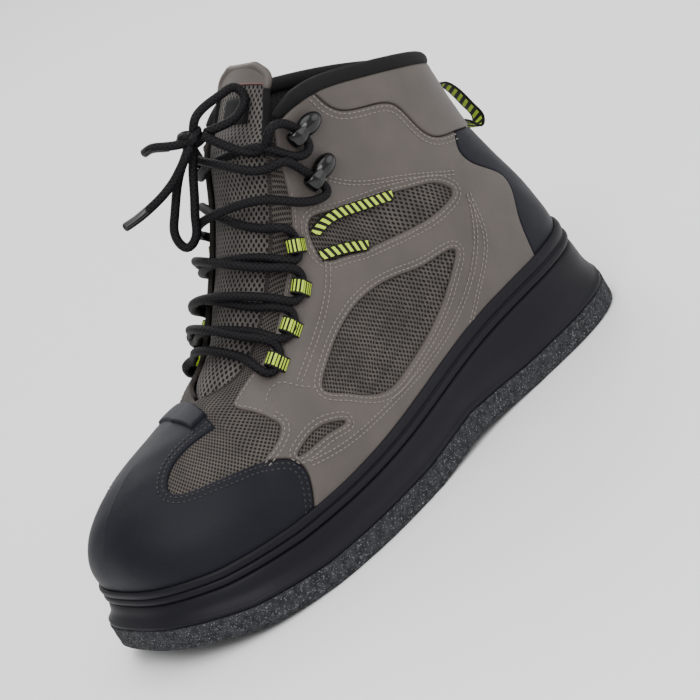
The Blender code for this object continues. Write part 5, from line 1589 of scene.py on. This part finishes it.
KEEPER_FOLD = (*range(-90, 100, 15), 108, 126, 145, 165, 190, 225)       # degrees round the lace
KEEPER_TAIL = (              # back in keeper lengths, height in metres
    (-0.30, 0.00629),
    (-0.62, 0.00407),
    (-1.0, 0.0012),
    (-1.0, 0.0),
)
KEEPER_EDGE = 0.0002
HOOK_WIDTHS = ((0, 0.15, 0.5, 0.85, 1), (0.7, 1.0, 1.0, 0.95, 0.6))      # way along it, share
HOOK_BEAD = (0.0076, 0.0050, 0.0050)
HOOK_BEAD_UP = 0.0030
STRAP_PROFILE = ((-0.5, -0.3), (-0.5, 0.6), (-0.46, 0.95), (-0.3, 1.0), (0.0, 1.0), (0.3, 1.0),
                 (0.46, 0.95), (0.5, 0.6), (0.5, -0.3))
PULL_PROFILE = ((-0.5, -0.6), (-0.5, 0.6), (-0.44, 1), (0.44, 1), (0.5, 0.6), (0.5, -0.6),
                (0.44, -1), (-0.44, -1))
PULL_RISES = (0.86, 0.70)    # where the ribbon's upper and lower end are sewn


def folded_webbing(name, outer, hole, frame_of, replaces):
    """A keeper: its outer and inner line of (ahead, normal) pairs, extruded across a frame."""
    origin, ahead, across, normal = frame_of
    spans = np.roll(outer, -1, 0) - outer
    length = lengths(np.vstack([outer, outer[:1]]))

    def along_profile(point):
        """Length of the outer line up to a point, found from the inner line's points."""
        share = np.clip(np.sum((point - hole) * spans, axis=1) / np.sum(spans ** 2, axis=1), 0, 1)
        near = np.argmin(np.linalg.norm(point - hole - share[:, None] * spans, axis=1))
        return float(length[near] + share[near] * (length[near + 1] - length[near]))

    made = bmesh.new()
    layer = made.loops.layers.uv.new("lengths")
    sides = [[[made.verts.new(origin + ahead * a + normal * n + across * w) for a, n in ring]
              for ring in (outer, hole)] for w in (-KEEPER_WIDTH / 2, KEEPER_WIDTH / 2)]
    count = len(outer)
    pairs = [(i, (i + 1) % count) for i in range(count)]
    for low, high in zip(*sides):
        for i, k in pairs:
            made.faces.new([low[i], low[k], high[k], high[i]])
    for side in sides:
        for i, k in pairs:
            made.faces.new([side[0][i], side[1][i], side[1][k], side[0][k]])
    bmesh.ops.recalc_face_normals(made, faces=made.faces)
    rims = [e for e in made.edges if e.calc_face_angle(0) > 0.9]
    bmesh.ops.bevel(made, geom=rims, offset=KEEPER_EDGE, segments=2, profile=0.6, affect="EDGES")
    for face in made.faces:
        for loop in face.loops:
            seat = np.array(loop.vert.co) - origin
            place = along_profile(np.array([seat @ ahead, seat @ normal]))
            loop[layer].uv = (place, float(seat @ across))
    mesh = bpy.data.meshes.new(name)
    made.to_mesh(mesh)
    made.free()
    item = on_boot(name, mesh, "keeper", replaces)
    item.data.set_sharp_from_angle(angle=math.radians(50))


def keepers():
    centre = np.array([0.0, LACE_BORE + KEEPER_WALL])
    angles = np.radians(KEEPER_FOLD)
    ring = np.column_stack([np.cos(angles), np.sin(angles)])
    hole, outer = centre + 0.85 * LACE_BORE * ring, centre + (LACE_BORE + 0.9 * KEEPER_WALL) * ring
    outer[-len(KEEPER_TAIL):] = np.array(KEEPER_TAIL) * (KEEPER_LENGTH, 1)
    for side_name, side in SIDES.items():
        for number, turn in enumerate(KEEPER_TURNS, 1):
            folded_webbing(f"keeper_{side_name}_{number}_webbing", outer, hole,
                           keeper_frame(side, turn), [f"lace_keeper_{side_name}_{number}"])


def bead(name, centre, axes):
    """A smooth dome with its own axes."""
    made = bmesh.new()
    bmesh.ops.create_uvsphere(made, u_segments=28, v_segments=18, radius=1.0)
    points = [centre + sum(a * r * c for a, r, c in zip(axes, HOOK_BEAD, v.co)) for v in made.verts]
    made.verts.index_update()
    faces = [[v.index for v in f.verts] for f in made.faces]
    made.free()
    piece(name, points, faces, "hook", uv=np.zeros((len(points), 2)))


def hooks():
    """Glossy rounded hooks: a band that curls over the lace, and a bead behind it."""
    inner, centre = hook_bend()
    half = HOOK_METAL * 0.75
    angles = np.radians(np.linspace(-90, 115, 22))
    arc = centre + (inner + half) * np.column_stack([np.cos(angles), np.sin(angles)])
    rear = np.column_stack([np.linspace(-0.0045, centre[0] - 0.0008, 10), np.full(10, half)])
    back = arc[-1] + np.linspace((-0.0006, -0.0002), (-0.0042, -0.0008), 6)
    band = np.vstack([rear, arc, back])
    wide = np.interp(np.linspace(0, 1, len(band)), *HOOK_WIDTHS)
    for side_name, side in SIDES.items():
        for number, place in enumerate(HOOKS, 1):
            origin, ahead, across, normal = hook_frame(side, place)
            path = origin + np.outer(band[:, 0], ahead) + np.outer(band[:, 1], normal)
            tube(f"hook_{side_name}_{number}_lip", path, half * wide, "hook", "hook", 24,
                 [f"lace_hook_{side_name}_{number}"], HOOK_WIDTH / 2 / half, normal)
            bead(f"hook_{side_name}_{number}_bead",
                 origin + ahead * HOOK_BEAD_BACK + normal * HOOK_BEAD_UP, (ahead, across, normal))


def straps():
    profile = [(w, LEATHER + 2 * GAP + WEBBING_THICKNESS * h) for w, h in STRAP_PROFILE]
    for side_name, side in SIDES.items():
        for number, ends in enumerate(WEBBING_STRAPS, 1):
            turn, rise = np.linspace(*placed(ends, side), 60).T
            middle, normal = last_point(turn, rise), last_normal(turn, rise)
            across = np.cross(normal, unit(np.gradient(middle, axis=0)))
            ribbon(f"strap_{side_name}_{number}", middle, across, normal, WEBBING_WIDTH, profile,
                   "strap", [f"webbing_{side_name}_{number}"])


def pull_ribbon():
    """Striped ribbon that stands out behind the ankle."""
    half = PULL_WEBBING / 2
    back, low = (skin(0.5, rise, LEATHER + 2 * GAP + half / 2) for rise in PULL_RISES)
    path = dense([(back[0] - half, 0, back[2]),
                  *[(back[0] - a * PULL_REACH, 0, back[2] + b * PULL_HEIGHT) for a, b in PULL_LINE],
                  (low[0] - half, 0, low[2])], 0.001)
    along = unit(np.gradient(path, axis=0))
    out = np.column_stack([-along[:, 2], np.zeros(len(path)), along[:, 0]])
    profile = [(w, half * 0.8 * h) for w, h in PULL_PROFILE]
    ribbon("pull_ribbon", path + (0, HEEL_TIP * BALL_WIDTH, 0), np.array([0, 1, 0]), out, PULL_WIDTH,
           profile, "pull", ["pull_loop"], True)


def repaint():
    """CAD pieces that stay as they are, with their finish."""
    for name, look in KEPT.items():
        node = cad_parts[name]
        node.data.materials.clear()
        node.data.materials.append(LOOKS[look])


def main():
    for step in (frame_camera, studio, lace_and_bow, sole, rand_beads, fabric, lining, throat_piping,
                 toe_leather, heel_leather, quarter_leather, cuff_leather, collar_tube,
                 tongue_pieces, keepers, hooks, straps, pull_ribbon, sew_threads, repaint):
        step()


main()
